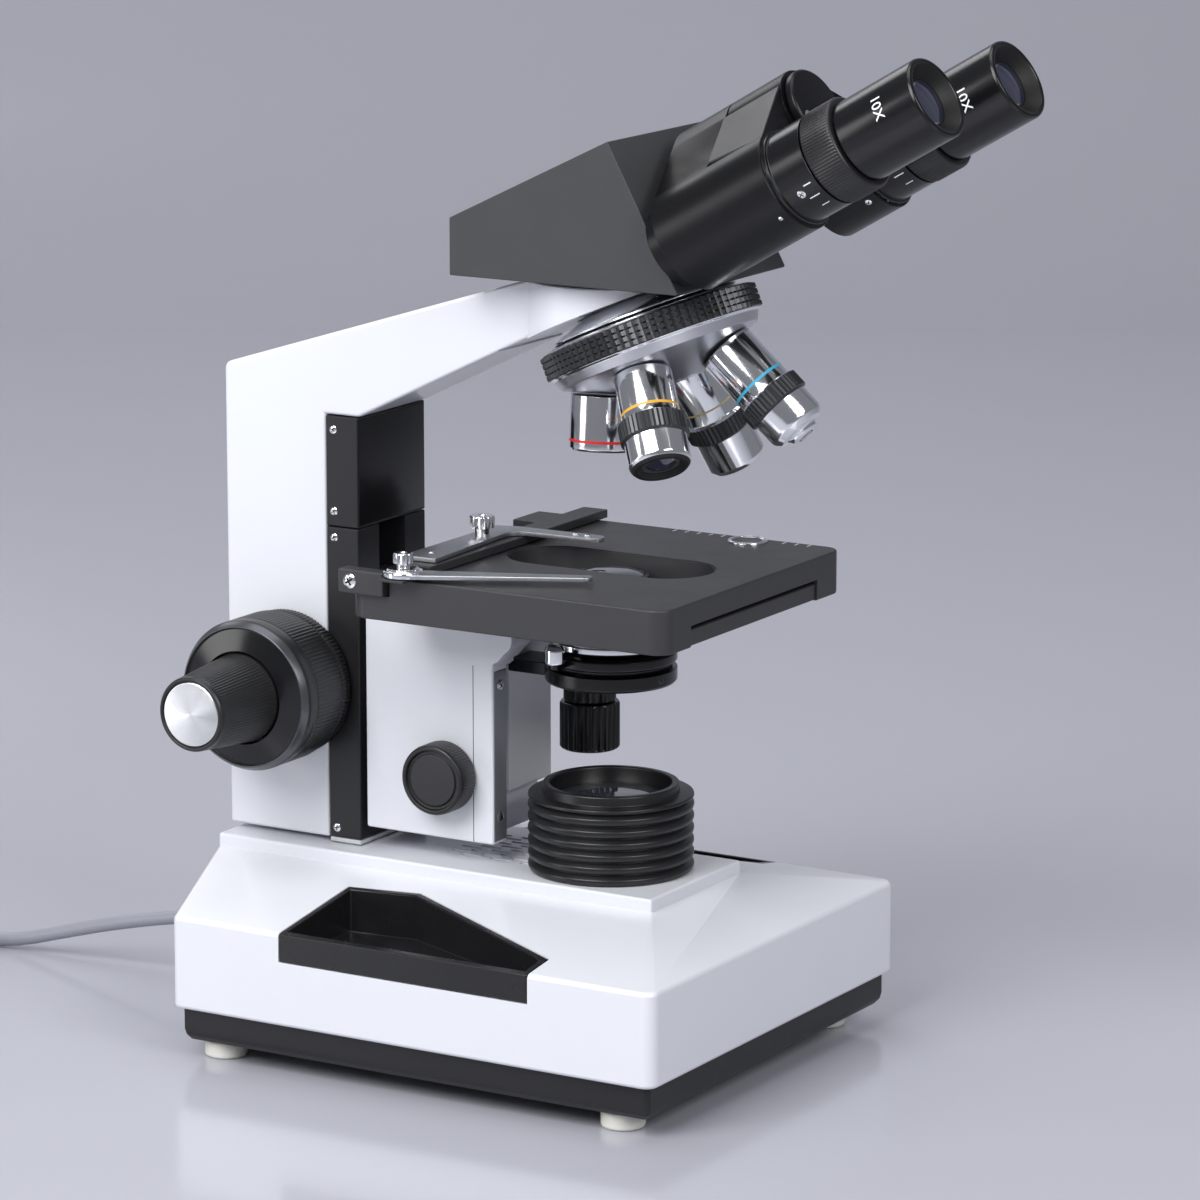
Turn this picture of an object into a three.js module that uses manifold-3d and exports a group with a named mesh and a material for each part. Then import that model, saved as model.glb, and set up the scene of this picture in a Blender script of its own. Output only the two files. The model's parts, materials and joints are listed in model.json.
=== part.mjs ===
// A binocular compound microscope in millimetres, +Z up. The optical axis is X = 0, Y = 0, the front,
// where the user sits, is towards -Y, the column is at the back, and the feet stand on Z = 0.
import * as THREE from 'three';
import { mergeVertices } from 'three/addons/utils/BufferGeometryUtils.js';
import { ConvexGeometry } from 'three/addons/geometries/ConvexGeometry.js';
import Module from 'manifold-3d';

const wasm = await Module();
wasm.setup();

// ---- driving dimensions ----
const GAP = 0.3;                     // clearance left between neighbouring pieces
const ROUND = 24;                    // facets of a large round piece
const SMALL_ROUND = 16;              // facets of a small one

const BASE_HALF_WIDTH = 87.5;
const BASE_FRONT = -68;
const BASE_REAR = 148.4;
const BASE_SHOULDER = 128;           // where the rear corners start to narrow
const BASE_TAIL = 36;                // half the width of the rear face
const SHELL_BOTTOM = 19.3;
const SHELL_EDGE = 53.1;             // top of the upright sides
const SKIRT_TOP = 64;                // where the sloping roof meets the plateau
const PLATEAU_TOP = 68.7;
const PLATEAU_HALF_WIDTH = 31.6;
const PLATEAU_FRONT = -35;
const PLATEAU_REAR = 147;
const SHELL_WALL = 3;
const FOOT_HEIGHT = 6.2;
const FOOT_RADIUS = 7.75;

const COLUMN_HALF_WIDTH = 22;
const COLUMN_FRONT = 105.1;
const COLUMN_REAR = 148.2;
const GUIDE_FRONT = 91.4;
const ARM_TOP = 280;
const NOSE_RADIUS = 30;

const FOCUS_Y = 120.7;
const FOCUS_Z = 126.6;
const COARSE_RADIUS = 27.3;
const PINION_RADIUS = 6;

const CARRIER_FRONT = 35.4;
const CARRIER_REAR = 88.9;
const CARRIER_BOTTOM = 76.5;
const CONDENSER_KNOB_Y = 54.6;
const CONDENSER_KNOB_Z = 100;

const STAGE_HALF_WIDTH = 63;
const STAGE_FRONT = -58.3;
const STAGE_REAR = 68.7;
const STAGE_BOTTOM = 163.4;
const STAGE_TOP = 179;
const DRIVE_X = 47;
const DRIVE_Y = 37;
const FINGER_PIVOT = [-64, 45.2];        // the sprung finger turns about this point

const APEX_Z = 299;                  // where the four objective axes and the turret axis meet
const TURRET_TILT = THREE.MathUtils.degToRad(23.4);
const TURRET_REST = THREE.MathUtils.degToRad(12);    // how far the turret stands off its click
const SHOULDER = 59.5;               // from the apex to an objective's shoulder

const HEAD_BOTTOM = 282;
const HEAD_HALF_WIDTH = 37.5;
const FACE_Y = -40.2;                // middle of the head's front face
const FACE_Z = 295.8;
const EYE_TILT = THREE.MathUtils.degToRad(60);       // the eye tubes rise 30 degrees
const EYE_HALF_SPACING = 29.5;
const HINGE_UP = 22;                 // the hinge stands this far above the eye tubes
const HINGE_RADIUS = 15;
const HOUSING_RADIUS = 18.5;
const HOUSING_START = 8;
const NECK_RADIUS = 14;
const HOUSING_END = 56;
const RIM = 117;                     // eyepiece rim, from the head's front face

const CORD_RADIUS = 2.5;
const COIL_X = -37.5;
const COIL_Y = 302;
const COIL_INNER = 20;
const COIL_OUTER = 40;
const COIL_HEIGHT = 10;

// ---- finishes ----
function finish(color, roughness, metalness) {
  return new THREE.MeshStandardMaterial({ color, roughness, metalness });
}
const enamel = () => finish(0xeef0f6, 0.35, 0);
const blackPaint = () => finish(0x1b1c1f, 0.5, 0);
const blackPlastic = () => finish(0x151618, 0.42, 0);
const anodised = () => finish(0x111214, 0.35, 0.4);
const polished = () => finish(0xd2d4d8, 0.16, 1);
const satinSteel = () => finish(0xa9acb2, 0.35, 1);
const rubber = () => finish(0xe9e7df, 0.7, 0);
const glass = () => finish(0xbfcbe0, 0.05, 0);
const greyCable = () => finish(0x9b9ca3, 0.6, 0);

// ---- solids ----
function solid(geometry) {
  const bare = geometry.clone();
  bare.deleteAttribute('normal');
  bare.deleteAttribute('uv');
  const merged = mergeVertices(bare, 1e-4);
  const index = merged.index.array;
  const at = merged.attributes.position;
  const corner = [0, 1, 2].map(() => new THREE.Vector3());
  const kept = [];
  let volume = 0;
  for (let i = 0; i < index.length; i += 3) {
    const [a, b, c] = [index[i], index[i + 1], index[i + 2]];
    if (a === b || b === c || c === a) continue;     // a triangle that has shut up at a pole
    kept.push(a, b, c);
    [a, b, c].forEach((vertex, n) => corner[n].fromBufferAttribute(at, vertex));
    volume += corner[0].dot(corner[1].clone().cross(corner[2]));
  }
  if (volume < 0) kept.reverse();                    // the faces have to point out
  const mesh = new wasm.Mesh({
    numProp: 3,
    vertProperties: new Float32Array(at.array),
    triVerts: new Uint32Array(kept),
  });
  return new wasm.Manifold(mesh);
}

function outline(points) {
  return new THREE.Shape(points.map(([x, y]) => new THREE.Vector2(x, y)));
}

// An outline in X and Y, standing from z0 to z1.
function prism(points, z0, z1) {
  const geometry = new THREE.ExtrudeGeometry(outline(points), { depth: z1 - z0, bevelEnabled: false });
  return solid(geometry.translate(0, 0, z0));
}

// An outline in Y and Z, reaching from x0 to x1.
function slab(points, x0, x1) {
  const geometry = new THREE.ExtrudeGeometry(outline(points), { depth: x1 - x0, bevelEnabled: false });
  geometry.translate(0, 0, x0);
  return solid(geometry.applyMatrix4(new THREE.Matrix4().set(0, 0, 1, 0, 1, 0, 0, 0, 0, 1, 0, 0, 0, 0, 0, 1)));
}

function box(x0, x1, y0, y1, z0, z1) {
  const geometry = new THREE.BoxGeometry(x1 - x0, y1 - y0, z1 - z0);
  return solid(geometry.translate((x0 + x1) / 2, (y0 + y1) / 2, (z0 + z1) / 2));
}

function hull(points) {
  return solid(new ConvexGeometry(points.map(([x, y, z]) => new THREE.Vector3(x, y, z))));
}

// A profile of [radius, height] pairs turned round a line through `at` along `along`.
function turned(profile, at = [0, 0, 0], along = [0, 0, 1], facets = ROUND) {
  const closed = profile[0][0] > 0 ? [...profile, profile[0]] : profile;
  const geometry = new THREE.LatheGeometry(closed.map(([r, h]) => new THREE.Vector2(r, h)), facets);
  const turn = new THREE.Quaternion().setFromUnitVectors(
    new THREE.Vector3(0, 1, 0), new THREE.Vector3(...along).normalize());
  return solid(geometry.applyQuaternion(turn).translate(...at));
}

function rod(radius, h0, h1, at, along, facets = SMALL_ROUND) {
  return turned([[0, h0], [radius, h0], [radius, h1], [0, h1]], at, along, facets);
}

function arc(cx, cy, radius, fromDegrees, toDegrees, steps) {
  return Array.from({ length: steps + 1 }, (_, i) => {
    const angle = THREE.MathUtils.degToRad(fromDegrees + (toDegrees - fromDegrees) * i / steps);
    return [cx + radius * Math.cos(angle), cy + radius * Math.sin(angle)];
  });
}

function roundedRectangle(x0, x1, y0, y1, radius, steps = 4) {
  return [
    ...arc(x1 - radius, y0 + radius, radius, -90, 0, steps),
    ...arc(x1 - radius, y1 - radius, radius, 0, 90, steps),
    ...arc(x0 + radius, y1 - radius, radius, 90, 180, steps),
    ...arc(x0 + radius, y0 + radius, radius, 180, 270, steps),
  ];
}

const mirrored = (points) => points.map(([x, y]) => [-x, y]).reverse();

const microscope = new THREE.Group();

function add(group, name, shape, material) {
  const made = shape.getMesh();
  const geometry = new THREE.BufferGeometry();
  geometry.setAttribute('position', new THREE.BufferAttribute(new Float32Array(made.vertProperties), 3));
  geometry.setIndex(new THREE.BufferAttribute(new Uint32Array(made.triVerts), 1));
  geometry.computeVertexNormals();
  const mesh = new THREE.Mesh(geometry, material);
  mesh.name = name;
  group.add(mesh);
  return mesh;
}

// ---- base ----
// The base's outline, drawn in by `inset` all round: square in front, narrowing at the rear corners.
function baseOutline(inset) {
  const half = BASE_HALF_WIDTH - inset;
  const front = BASE_FRONT + inset;
  const corner = Math.max(5 - inset, 1.5);
  const side = [
    ...arc(half - corner, front + corner, corner, -90, 0, 3),
    [half, BASE_SHOULDER - 0.675 * inset],
    [BASE_TAIL - 0.194 * inset, BASE_REAR - inset],
  ];
  return [...side, ...mirrored(side)];
}

const at = (points, z) => points.map(([x, y]) => [x, y, z]);

function plateauOutline(inset) {
  const half = PLATEAU_HALF_WIDTH - inset;
  return [[-half, PLATEAU_FRONT + inset], [half, PLATEAU_FRONT + inset],
    [half, PLATEAU_REAR - inset], [-half, PLATEAU_REAR - inset]];
}

function shellForm(inset, bottom) {
  return hull([...at(baseOutline(inset), bottom), ...at(baseOutline(inset), SHELL_EDGE - inset * 0.4),
    ...at(plateauOutline(inset), SKIRT_TOP - inset)])
    .add(prism(plateauOutline(inset), SKIRT_TOP - inset - 6, PLATEAU_TOP - inset));
}

// The left grip pocket in plan, out past the base's side, grown by `grow`.
function pocketOutline(grow) {
  return [
    [-95, 83 + grow], [-BASE_HALF_WIDTH, 83 + grow], [-46.4 + grow, 80.5 + grow], [-43.4 + grow, 52.4],
    [-74.5 + grow, -19.6 - grow], [-BASE_HALF_WIDTH, -18.6 - grow], [-95, -18.6 - grow],
  ];
}
const POCKET_SILL = 43;
const chamferNormal = new THREE.Vector3(0.3737, 0.9276, 0).normalize().toArray();
const DIAL_AT = [63, 137.6, 36];
const SWITCH_X = [17, 31];
const SWITCH_Z = [25, 46];

function makeBase() {
  const group = new THREE.Group();
  const solidForm = shellForm(0, SHELL_BOTTOM);
  let shell = solidForm.subtract(shellForm(SHELL_WALL, SHELL_BOTTOM - 1));
  for (const flip of [(p) => p, mirrored]) {
    shell = shell.subtract(prism(flip(pocketOutline(GAP)), POCKET_SILL - GAP, PLATEAU_TOP + 5));
  }
  shell = shell.subtract(rod(19, 50, 80, [0, 0, 0], [0, 0, 1], ROUND));
  shell = shell.subtract(rod(4, -12, 6, DIAL_AT, chamferNormal));
  shell = shell.subtract(box(...SWITCH_X, 140, 160, ...SWITCH_Z));
  add(group, 'base_shell', shell, enamel());

  for (const [side, flip] of [['left', (p) => p], ['right', mirrored]]) {
    const block = shellForm(0, SHELL_BOTTOM).intersect(prism(flip(pocketOutline(0)), POCKET_SILL, 90));
    const hollowOutline = [[-84.5, 80.7], [-48.6, 78.4], [-45.8, 53], [-74.2, -13.4], [-75.6, -16.6], [-84.5, -16.2]];
    const tray = block.subtract(prism(flip(hollowOutline), POCKET_SILL + 2, 90));
    add(group, `grip_pocket_${side}`, tray, blackPlastic());
  }

  const plateTop = SHELL_BOTTOM - GAP;
  const plateBottom = FOOT_HEIGHT + GAP;
  const tray = hull([...at(baseOutline(3), plateTop), ...at(baseOutline(3), plateBottom + 5),
    ...at(baseOutline(4.5), plateBottom + 1.5), ...at(baseOutline(8), plateBottom)])
    .subtract(prism(baseOutline(6.5), plateBottom + 3, plateTop + 1));
  add(group, 'base_plate', tray, blackPaint());

  for (const [side, x] of [['left', -71.5], ['right', 71.5]]) {
    for (const [end, y] of [['front', -47.5], ['rear', 117]]) {
      const foot = turned([[0, 0], [FOOT_RADIUS - 0.8, 0], [FOOT_RADIUS, 0.8], [FOOT_RADIUS, FOOT_HEIGHT],
        [0, FOOT_HEIGHT]], [x, y, 0], [0, 0, 1], SMALL_ROUND);
      add(group, `foot_${end}_${side}`, foot, rubber());
    }
  }

  const inside = plateBottom + 3 + GAP;
  const ribs = Array.from({ length: 6 }, (_, i) => 69 + 4.35 * i)
    .flatMap((z) => [[29.5, z], [27.6, z + 3.8]]);
  add(group, 'light_collector', turned([[17.5, 69], ...ribs, [29.5, 95.1], [24.3, 95.4], [24.3, 100], [21.5, 100],
    [21.5, 93], [17.5, 93]]), anodised());
  add(group, 'field_glass', turned([[0, 93.3], [21.2, 93.3], [21.2, 94.6], [12, 96.2], [0, 96.8]]), glass());
  add(group, 'lamp_socket', box(-11, 11, -9, 9, inside, 42), finish(0xd9d6cc, 0.8, 0));
  add(group, 'halogen_lamp', turned([[0, 42.3], [4.5, 42.3], [5.5, 46], [5.5, 52], [3, 57], [0, 58.5]], [0, 0, 0],
    [0, 0, 1], SMALL_ROUND), glass());
  add(group, 'transformer', box(-26, 26, 70, 112, inside, 48), finish(0x6c6f75, 0.6, 0.5));

  add(group, 'dimmer_dial', turned([[0, GAP], [8.4, GAP], [9, 1.2], [8.6, 6.4], [7.8, 7], [0, 7]], DIAL_AT,
    chamferNormal, 20).add(rod(3.4, -9, 1, DIAL_AT, chamferNormal)), blackPlastic());
  const rocker = [[136.5, 35.5], [141, 27.2], [147.4, 27.2], [147.8, 35.5], [146.2, 43.8], [141, 43.8]];
  add(group, 'power_switch', slab(rocker, SWITCH_X[0] + 0.7, SWITCH_X[1] - 0.7), blackPlastic());
  return group;
}

// ---- column, arm and focusing gear ----
const ACROSS = [1, 0, 0];
const focusAxis = [0, FOCUS_Y, FOCUS_Z];

// A plane across the turret axis, `down` from the apex, kept on the side away from the apex.
function belowTurretPlane(down) {
  const block = new THREE.BoxGeometry(200, 96, 200).translate(0, 0, -100 - down);
  return solid(block.rotateX(-TURRET_TILT).translate(0, 0, APEX_Z));
}

function makeArm() {
  const group = new THREE.Group();
  const side = [
    [COLUMN_REAR, PLATEAU_TOP + 1.8], [COLUMN_REAR, 239], [COLUMN_REAR - 1.5, 242.5], [21, ARM_TOP], [0, ARM_TOP],
    [0, 262], [20, 260], [91, 225.3], [COLUMN_FRONT, 225.3], [COLUMN_FRONT, PLATEAU_TOP + 1.8],
  ];
  let arm = slab(side, -COLUMN_HALF_WIDTH, COLUMN_HALF_WIDTH);
  arm = arm.add(rod(NOSE_RADIUS, 250, ARM_TOP, [0, 0, 0], [0, 0, 1], ROUND));
  arm = arm.add(rod(24, COLUMN_HALF_WIDTH - 1, 28.6, focusAxis, ACROSS, ROUND)
    .subtract(box(0, COLUMN_HALF_WIDTH + GAP, 80, COLUMN_FRONT, 80, 160)));
  arm = arm.subtract(belowTurretPlane(28));
  arm = arm.subtract(rod(12, 240, 290, [0, 0, 0], [0, 0, 1], SMALL_ROUND));
  arm = arm.subtract(box(-9, 9, 100, 128, 78, 200));
  arm = arm.subtract(rod(6.6, -40, 40, focusAxis, ACROSS));
  add(group, 'arm', arm, enamel());

  const cover = (z0, z1) => box(-COLUMN_HALF_WIDTH, COLUMN_HALF_WIDTH, GUIDE_FRONT, COLUMN_FRONT - GAP, z0, z1);
  add(group, 'guide_cover_lower', cover(71, 184.8).subtract(box(-8.5, 8.5, 85, 110, 78, 190)), blackPaint());
  add(group, 'guide_cover_upper', cover(185.1, 225), blackPaint());

  add(group, 'tension_ring', turned([[8, 22.4], [25.6, 22.4], [26.5, 23.2], [26.5, 28.2], [25.6, 29], [8, 29]],
    focusAxis, [-1, 0, 0]), blackPlastic());
  for (const [name, way] of [['left', -1], ['right', 1]]) {
    const along = [way, 0, 0];
    const knob = turned([[5.3, 29.3], [26.6, 29.3], [COARSE_RADIUS, 30.2], [COARSE_RADIUS, 50], [25.6, 53.4],
      [22.2, 55], [20.6, 52], [16.6, 50.5], [5.3, 50.5]], focusAxis, along);
    add(group, `coarse_knob_${name}`, knob, blackPlastic());
    const fine = turned([[0, 80.4], [3.3, 80.4], [3.3, 51], [16, 51], [16, 60], [13.4, 84.6], [12.6, 85.5],
      [0, 85.5]], focusAxis, along);
    add(group, `fine_knob_${name}`, fine, blackPlastic());
  }
  const sleeve = turned([[3.4, -50], [5, -50], [5, -7], [PINION_RADIUS, -7], [PINION_RADIUS, 7], [5, 7], [5, 50],
    [3.4, 50]], focusAxis, ACROSS, SMALL_ROUND);
  add(group, 'coarse_shaft', sleeve, satinSteel());
  add(group, 'fine_shaft', rod(3, -80, 80, focusAxis, ACROSS), satinSteel());
  return group;
}

// ---- the block that the focus moves, and the stage on it ----
function makeCarrier() {
  const group = new THREE.Group();
  const rackFace = FOCUS_Y - PINION_RADIUS - GAP;
  const bar = box(-8.2, 8.2, CARRIER_REAR + 0.6, 100, 92, 166).add(box(-5, 5, 99, rackFace, 92, 166));
  add(group, 'focus_slide', bar, satinSteel());

  const top = STAGE_BOTTOM;
  let block = box(-COLUMN_HALF_WIDTH, COLUMN_HALF_WIDTH, CARRIER_FRONT, CARRIER_REAR, CARRIER_BOTTOM, top);
  block = block.subtract(box(-8, 30, 20, 44, 60, 170));
  block = block.subtract(box(-13, -7, 20, 40, 60, 141));
  const gusset = [[CARRIER_FRONT + 1, 140], [CARRIER_FRONT, 142.4], [33, 144.5], [29, 148.5], [27.6, 151.5],
    [27.6, top], [CARRIER_FRONT + 1, top]];
  block = block.add(slab(gusset, -COLUMN_HALF_WIDTH, -8));
  const knobAt = [0, CONDENSER_KNOB_Y, CONDENSER_KNOB_Z];
  block = block.subtract(rod(3.4, -30, 30, knobAt, ACROSS));
  add(group, 'stage_carrier', block, enamel());

  const knob = turned([[0, 22.4], [12.2, 22.4], [12.8, 23.2], [12.8, 31.6], [12, 32.6], [10.6, 32.6], [10.2, 31.4],
    [0, 31.4]], knobAt, [-1, 0, 0], 24).add(rod(3, -20, 23, knobAt, [-1, 0, 0]));
  add(group, 'condenser_knob', knob, blackPlastic());
  return group;
}

function makeStage() {
  const group = new THREE.Group();
  const aperture = [...arc(0, 23.5, 16, 0, 180, 8), ...arc(0, -23.5, 16, 180, 360, 8)];
  const lower = box(-44.6, 43.6, -57.6, STAGE_REAR - 1, STAGE_BOTTOM + GAP, 170.6)
    .subtract(rod(19, 150, 190, [0, 0, 0], [0, 0, 1], ROUND));
  add(group, 'stage_base', lower, blackPaint());

  let upper = prism(roundedRectangle(-STAGE_HALF_WIDTH, STAGE_HALF_WIDTH, STAGE_FRONT, STAGE_REAR, 6.5),
    STAGE_BOTTOM, STAGE_TOP);
  upper = upper.subtract(box(-45, 44, -80, 90, 150, 171));
  upper = upper.subtract(prism(aperture, 150, 190));
  upper = upper.subtract(box(-80, 80, 51.6, 90, 172.2, 190));
  add(group, 'stage_top', upper, blackPaint());

  const rail = box(-60, 62, 52.6, 60.5, 172.5, 179).add(box(-66, -59.9, 52.6, 71, 172.5, 181));
  add(group, 'x_rail', rail, blackPaint());

  const carriage = box(-54, 66.5, 41, 51.2, 179.3, 182.4).add(box(-71, -53, 41, 51.2, 179.3, 180.3))
    .add(box(33, 51, 51, 61, 179.3, 182.4));
  add(group, 'x_carriage', carriage, blackPaint());
  const plate = [[-48.5, 42], [6, 46], [9.5, 14], [13, 11.5], [16.5, 13], [15.5, 48], [13, 55.5], [-48.5, 55.5]];
  const holder = prism(plate, 182.7, 184.3).add(rod(4.6, 184, 192, [-6, 49.5, 0], [0, 0, 1]));
  add(group, 'slide_holder', holder, satinSteel());
  const finger = [[-69, 41], [-41.5, -13], [-38.5, -15.5], [-36, -12.5], [-59, 42]];
  const pivot = [...FINGER_PIVOT, 0];
  const disc = turned([[0, 180.6], [7, 180.6], [7, 182.8], [6, 183.6], [3.6, 183.6], [3.6, 189], [0, 189]], pivot);
  add(group, 'spring_finger', prism(finger, 180.6, 182.1).add(disc), satinSteel());

  const post = rod(6, 135.4, STAGE_BOTTOM - GAP, [DRIVE_X, DRIVE_Y, 0], [0, 0, 1])
    .add(rod(2.5, 104, 136, [DRIVE_X, DRIVE_Y, 0], [0, 0, 1], 12));
  add(group, 'stage_drive_post', post, anodised());
  add(group, 'stage_knob_y', turned([[2.9, 116], [9.6, 116], [9.6, 134], [8.8, 135], [2.9, 135]],
    [DRIVE_X, DRIVE_Y, 0]), blackPlastic());
  add(group, 'stage_knob_x', turned([[0, 98], [10.2, 98], [11, 98.8], [11, 115], [10.4, 115.6], [2.9, 115.6],
    [2.9, 103.6], [0, 103.6]], [DRIVE_X, DRIVE_Y, 0]), blackPlastic());
  return group;
}

function makeCondenser() {
  const group = new THREE.Group();
  const ring = turned([[18.5, 136.7], [22.6, 136.7], [23.4, 137.6], [23.4, 142], [18.5, 142]]);
  const plate = box(-7.7, 20.8, 37.4, 43.7, 93, 162);
  const bracket = box(-7.7, 7.7, 20.5, 38, 137, 141.6).subtract(rod(18.5, 130, 145, [0, 0, 0], [0, 0, 1], ROUND));
  add(group, 'condenser_carrier', plate.add(bracket).add(ring), enamel());
  add(group, 'condenser_body', turned([[12, 136.2], [18, 136.2], [18.2, 137], [18.2, 149.5], [21.5, 150], [21.5, 152],
    [14, 155], [14, 175], [12, 175]]), anodised());
  add(group, 'condenser_lens', turned([[0, 168], [11.7, 168], [11.7, 175], [9, 176.2], [0, 176.6]], [0, 0, 0],
    [0, 0, 1], 24), glass());
  const iris = turned([[18.5, 142.6], [22, 142.6], [22.4, 144.2], [23.4, 144.4], [23.4, 148], [18.5, 148]])
    .add(hull([...at(roundedRectangle(-29, -20, 4.4, 7.6, 1, 1), 144.8), ...at(roundedRectangle(-29, -20, 4.4, 7.6, 1, 1), 147.4)]))
    .add(rod(3.4, 146, 154, [-28, 6, 0], [0, 0, 1], 16));
  add(group, 'iris_ring', iris, anodised());
  return group;
}

// ---- nosepiece: a group with its origin at the apex and its -Z down the turret axis ----
function makeNosepiece() {
  const group = new THREE.Group();
  group.position.z = APEX_Z;
  group.rotation.x = -TURRET_TILT;
  add(group, 'nosepiece_mount', turned([[12, -34.2], [33.5, -34.2], [33.5, -33.5], [27, -31], [20.5, -28.4],
    [12, -28.4]]), polished());
  add(group, 'turret', turned([[0, -34.6], [33.8, -34.6], [37.5, -36], [39.5, -36.2], [39.5, -45], [38, -45.4],
    [35.9, -49.3], [12, -59.6], [0, -59.6]], [0, 0, 0], [0, 0, 1], 32), satinSteel());

  // Each objective is turned round its own axis, from its shoulder down to its tip.
  const clear = SHOULDER + GAP;
  const barrels = {
    objective_4x: [[0, clear], [12, clear], [12, 78.4], [11.4, 79.2], [6, 79.2], [5, 76], [0, 76]],
    objective_10x: [[0, clear], [10.2, clear], [10.4, 77], [12, 77.4], [12, 84.2], [10.9, 84.6], [10.9, 93.4],
      [9.6, 95], [8, 95], [6, 93.4], [0, 93.4]],
    objective_40x: [[0, clear], [10.2, clear], [10.4, 81], [12, 81.4], [12, 87.4], [10.8, 87.8], [10.8, 96.4],
      [8.4, 99], [5.5, 99.4], [4.6, 101.4], [0, 101.4]],
    objective_100x: [[0, clear], [10.2, clear], [10.4, 79.5], [12, 79.9], [12, 86.2], [10.8, 86.6], [10.8, 98.6],
      [9.8, 100], [0, 100]],
  };
  const quarter = Math.PI / 2;
  [['objective_4x', 1], ['objective_10x', 2], ['objective_40x', 3], ['objective_100x', 0]].forEach(([name, place]) => {
    const round = new THREE.Group();
    round.rotation.z = TURRET_REST + place * quarter;
    const lean = new THREE.Group();
    lean.rotation.y = Math.PI - TURRET_TILT;         // +Z of this group runs out along the objective
    round.add(lean);
    group.add(round);
    add(lean, name, turned(barrels[name], [0, 0, 0], [0, 0, 1], 20), polished());
  });
  return group;
}

// ---- head: a prism box, and a group whose +Z runs out along the eye tubes ----
function makeHead() {
  const group = new THREE.Group();
  add(group, 'seat_ring', turned([[14, ARM_TOP + GAP], [28.5, ARM_TOP + GAP], [28.5, HEAD_BOTTOM - GAP],
    [14, HEAD_BOTTOM - GAP]]), polished());
  const side = [[42.6, HEAD_BOTTOM], [42.6, 302], [-20.6, 332.4], [-48.1, HEAD_BOTTOM + 0.6], [-47.6, HEAD_BOTTOM]];
  const hollow = [[38.6, HEAD_BOTTOM + 4], [38.6, 299.4], [-18.9, 327.2], [-42.4, HEAD_BOTTOM + 4]];
  const head = slab(side, -HEAD_HALF_WIDTH, HEAD_HALF_WIDTH)
    .subtract(slab(hollow, 4 - HEAD_HALF_WIDTH, HEAD_HALF_WIDTH - 4))
    .subtract(rod(14, 270, 290, [0, 0, 0], [0, 0, 1]));
  add(group, 'head_body', head, blackPaint());

  const tubes = new THREE.Group();
  tubes.position.set(0, FACE_Y, FACE_Z);
  tubes.rotation.x = EYE_TILT;
  group.add(tubes);
  const pin = rod(4, 1.2, 57, [0, HINGE_UP, 0], [0, 0, 1])
    .add(rod(9, 1.2, HOUSING_START - GAP, [0, HINGE_UP, 0], [0, 0, 1], 20))
    .add(rod(13.6, 56.4, 60, [0, HINGE_UP, 0], [0, 0, 1], 20));
  add(tubes, 'hinge_pin', pin, blackPaint());

  const split = 32;
  for (const [name, way] of [['left', -1], ['right', 1]]) {
    const eyeX = way * EYE_HALF_SPACING;
    const [near, far] = way < 0 ? [HOUSING_START, split] : [split + 0.4, HOUSING_END];
    const ends = (z) => [...at(arc(eyeX, 0, HOUSING_RADIUS, 0, 342, 19), z), ...at(arc(0, HINGE_UP, HINGE_RADIUS, 0, 336, 14), z)];
    const barrel = rod(HOUSING_RADIUS, HOUSING_START, HOUSING_END, [eyeX, 0, 0], [0, 0, 1], 20)
      .add(rod(NECK_RADIUS, 1.6, 20, [eyeX, 0, 0], [0, 0, 1], 20));
    // The web fills in the outer flank where the other housing holds the hinge.
    const reach = Math.hypot(eyeX, HINGE_UP);
    const toEye = [eyeX / reach, -HINGE_UP / reach];
    const inwardSide = [-HINGE_UP * way / reach, -Math.abs(eyeX) / reach];
    const corner = (along, across) => [along * toEye[0] + across * inwardSide[0],
      HINGE_UP + along * toEye[1] + across * inwardSide[1]];
    const innerHalf = prism([corner(-40, 0), corner(80, 0), corner(80, 60), corner(-40, 60)], 0, 70);
    const web = hull([...ends(HOUSING_START), ...ends(HOUSING_END)]).subtract(innerHalf)
      .subtract(rod(HINGE_RADIUS + 0.7, 0, 70, [0, HINGE_UP, 0], [0, 0, 1], ROUND));
    const knuckle = hull([...ends(near), ...ends(far)]);
    const inward = THREE.MathUtils.degToRad(11 * way);
    const arm = new THREE.Vector2(-eyeX, -HINGE_UP).rotateAround(new THREE.Vector2(), -inward);
    const nearest = [arm.x, arm.y + HINGE_UP, 0];
    const clearOfOther = rod(HOUSING_RADIUS + 0.6, -5, 80, nearest, [0, 0, 1], 20)
      .subtract(rod(HINGE_RADIUS, -6, 90, [0, HINGE_UP, 0], [0, 0, 1], 15));
    const collar = turned([[0, HOUSING_END - 1], [16.5, HOUSING_END - 1], [16.5, 71], [13.4, 71], [13.4, 83.6],
      [0, 83.6]], [eyeX, 0, 0]);
    const shape = barrel.add(web).add(knuckle.subtract(clearOfOther)).add(collar)
      .subtract(rod(11.9, 40, 90, [eyeX, 0, 0], [0, 0, 1], ROUND))
      .subtract(rod(4.3, -5, 70, [0, HINGE_UP, 0], [0, 0, 1]));
    add(tubes, `tube_housing_${name}`, shape, blackPaint());
    add(tubes, `diopter_ring_${name}`, turned([[13.7, 71.3], [16, 71.3], [16.8, 72], [16.8, 83], [16, 83.9],
      [13.7, 83.9]], [eyeX, 0, 0]), blackPlastic());
    add(tubes, `eyepiece_${name}`, turned([[0, 60], [11.5, 60], [11.5, 84.2], [14.5, 84.2], [14.5, RIM - 0.8],
      [13.8, RIM], [12.2, RIM], [10.4, RIM - 3], [8.2, RIM - 3.6], [0, RIM - 3.2]], [eyeX, 0, 0]), anodised());
  }
  return group;
}

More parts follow.
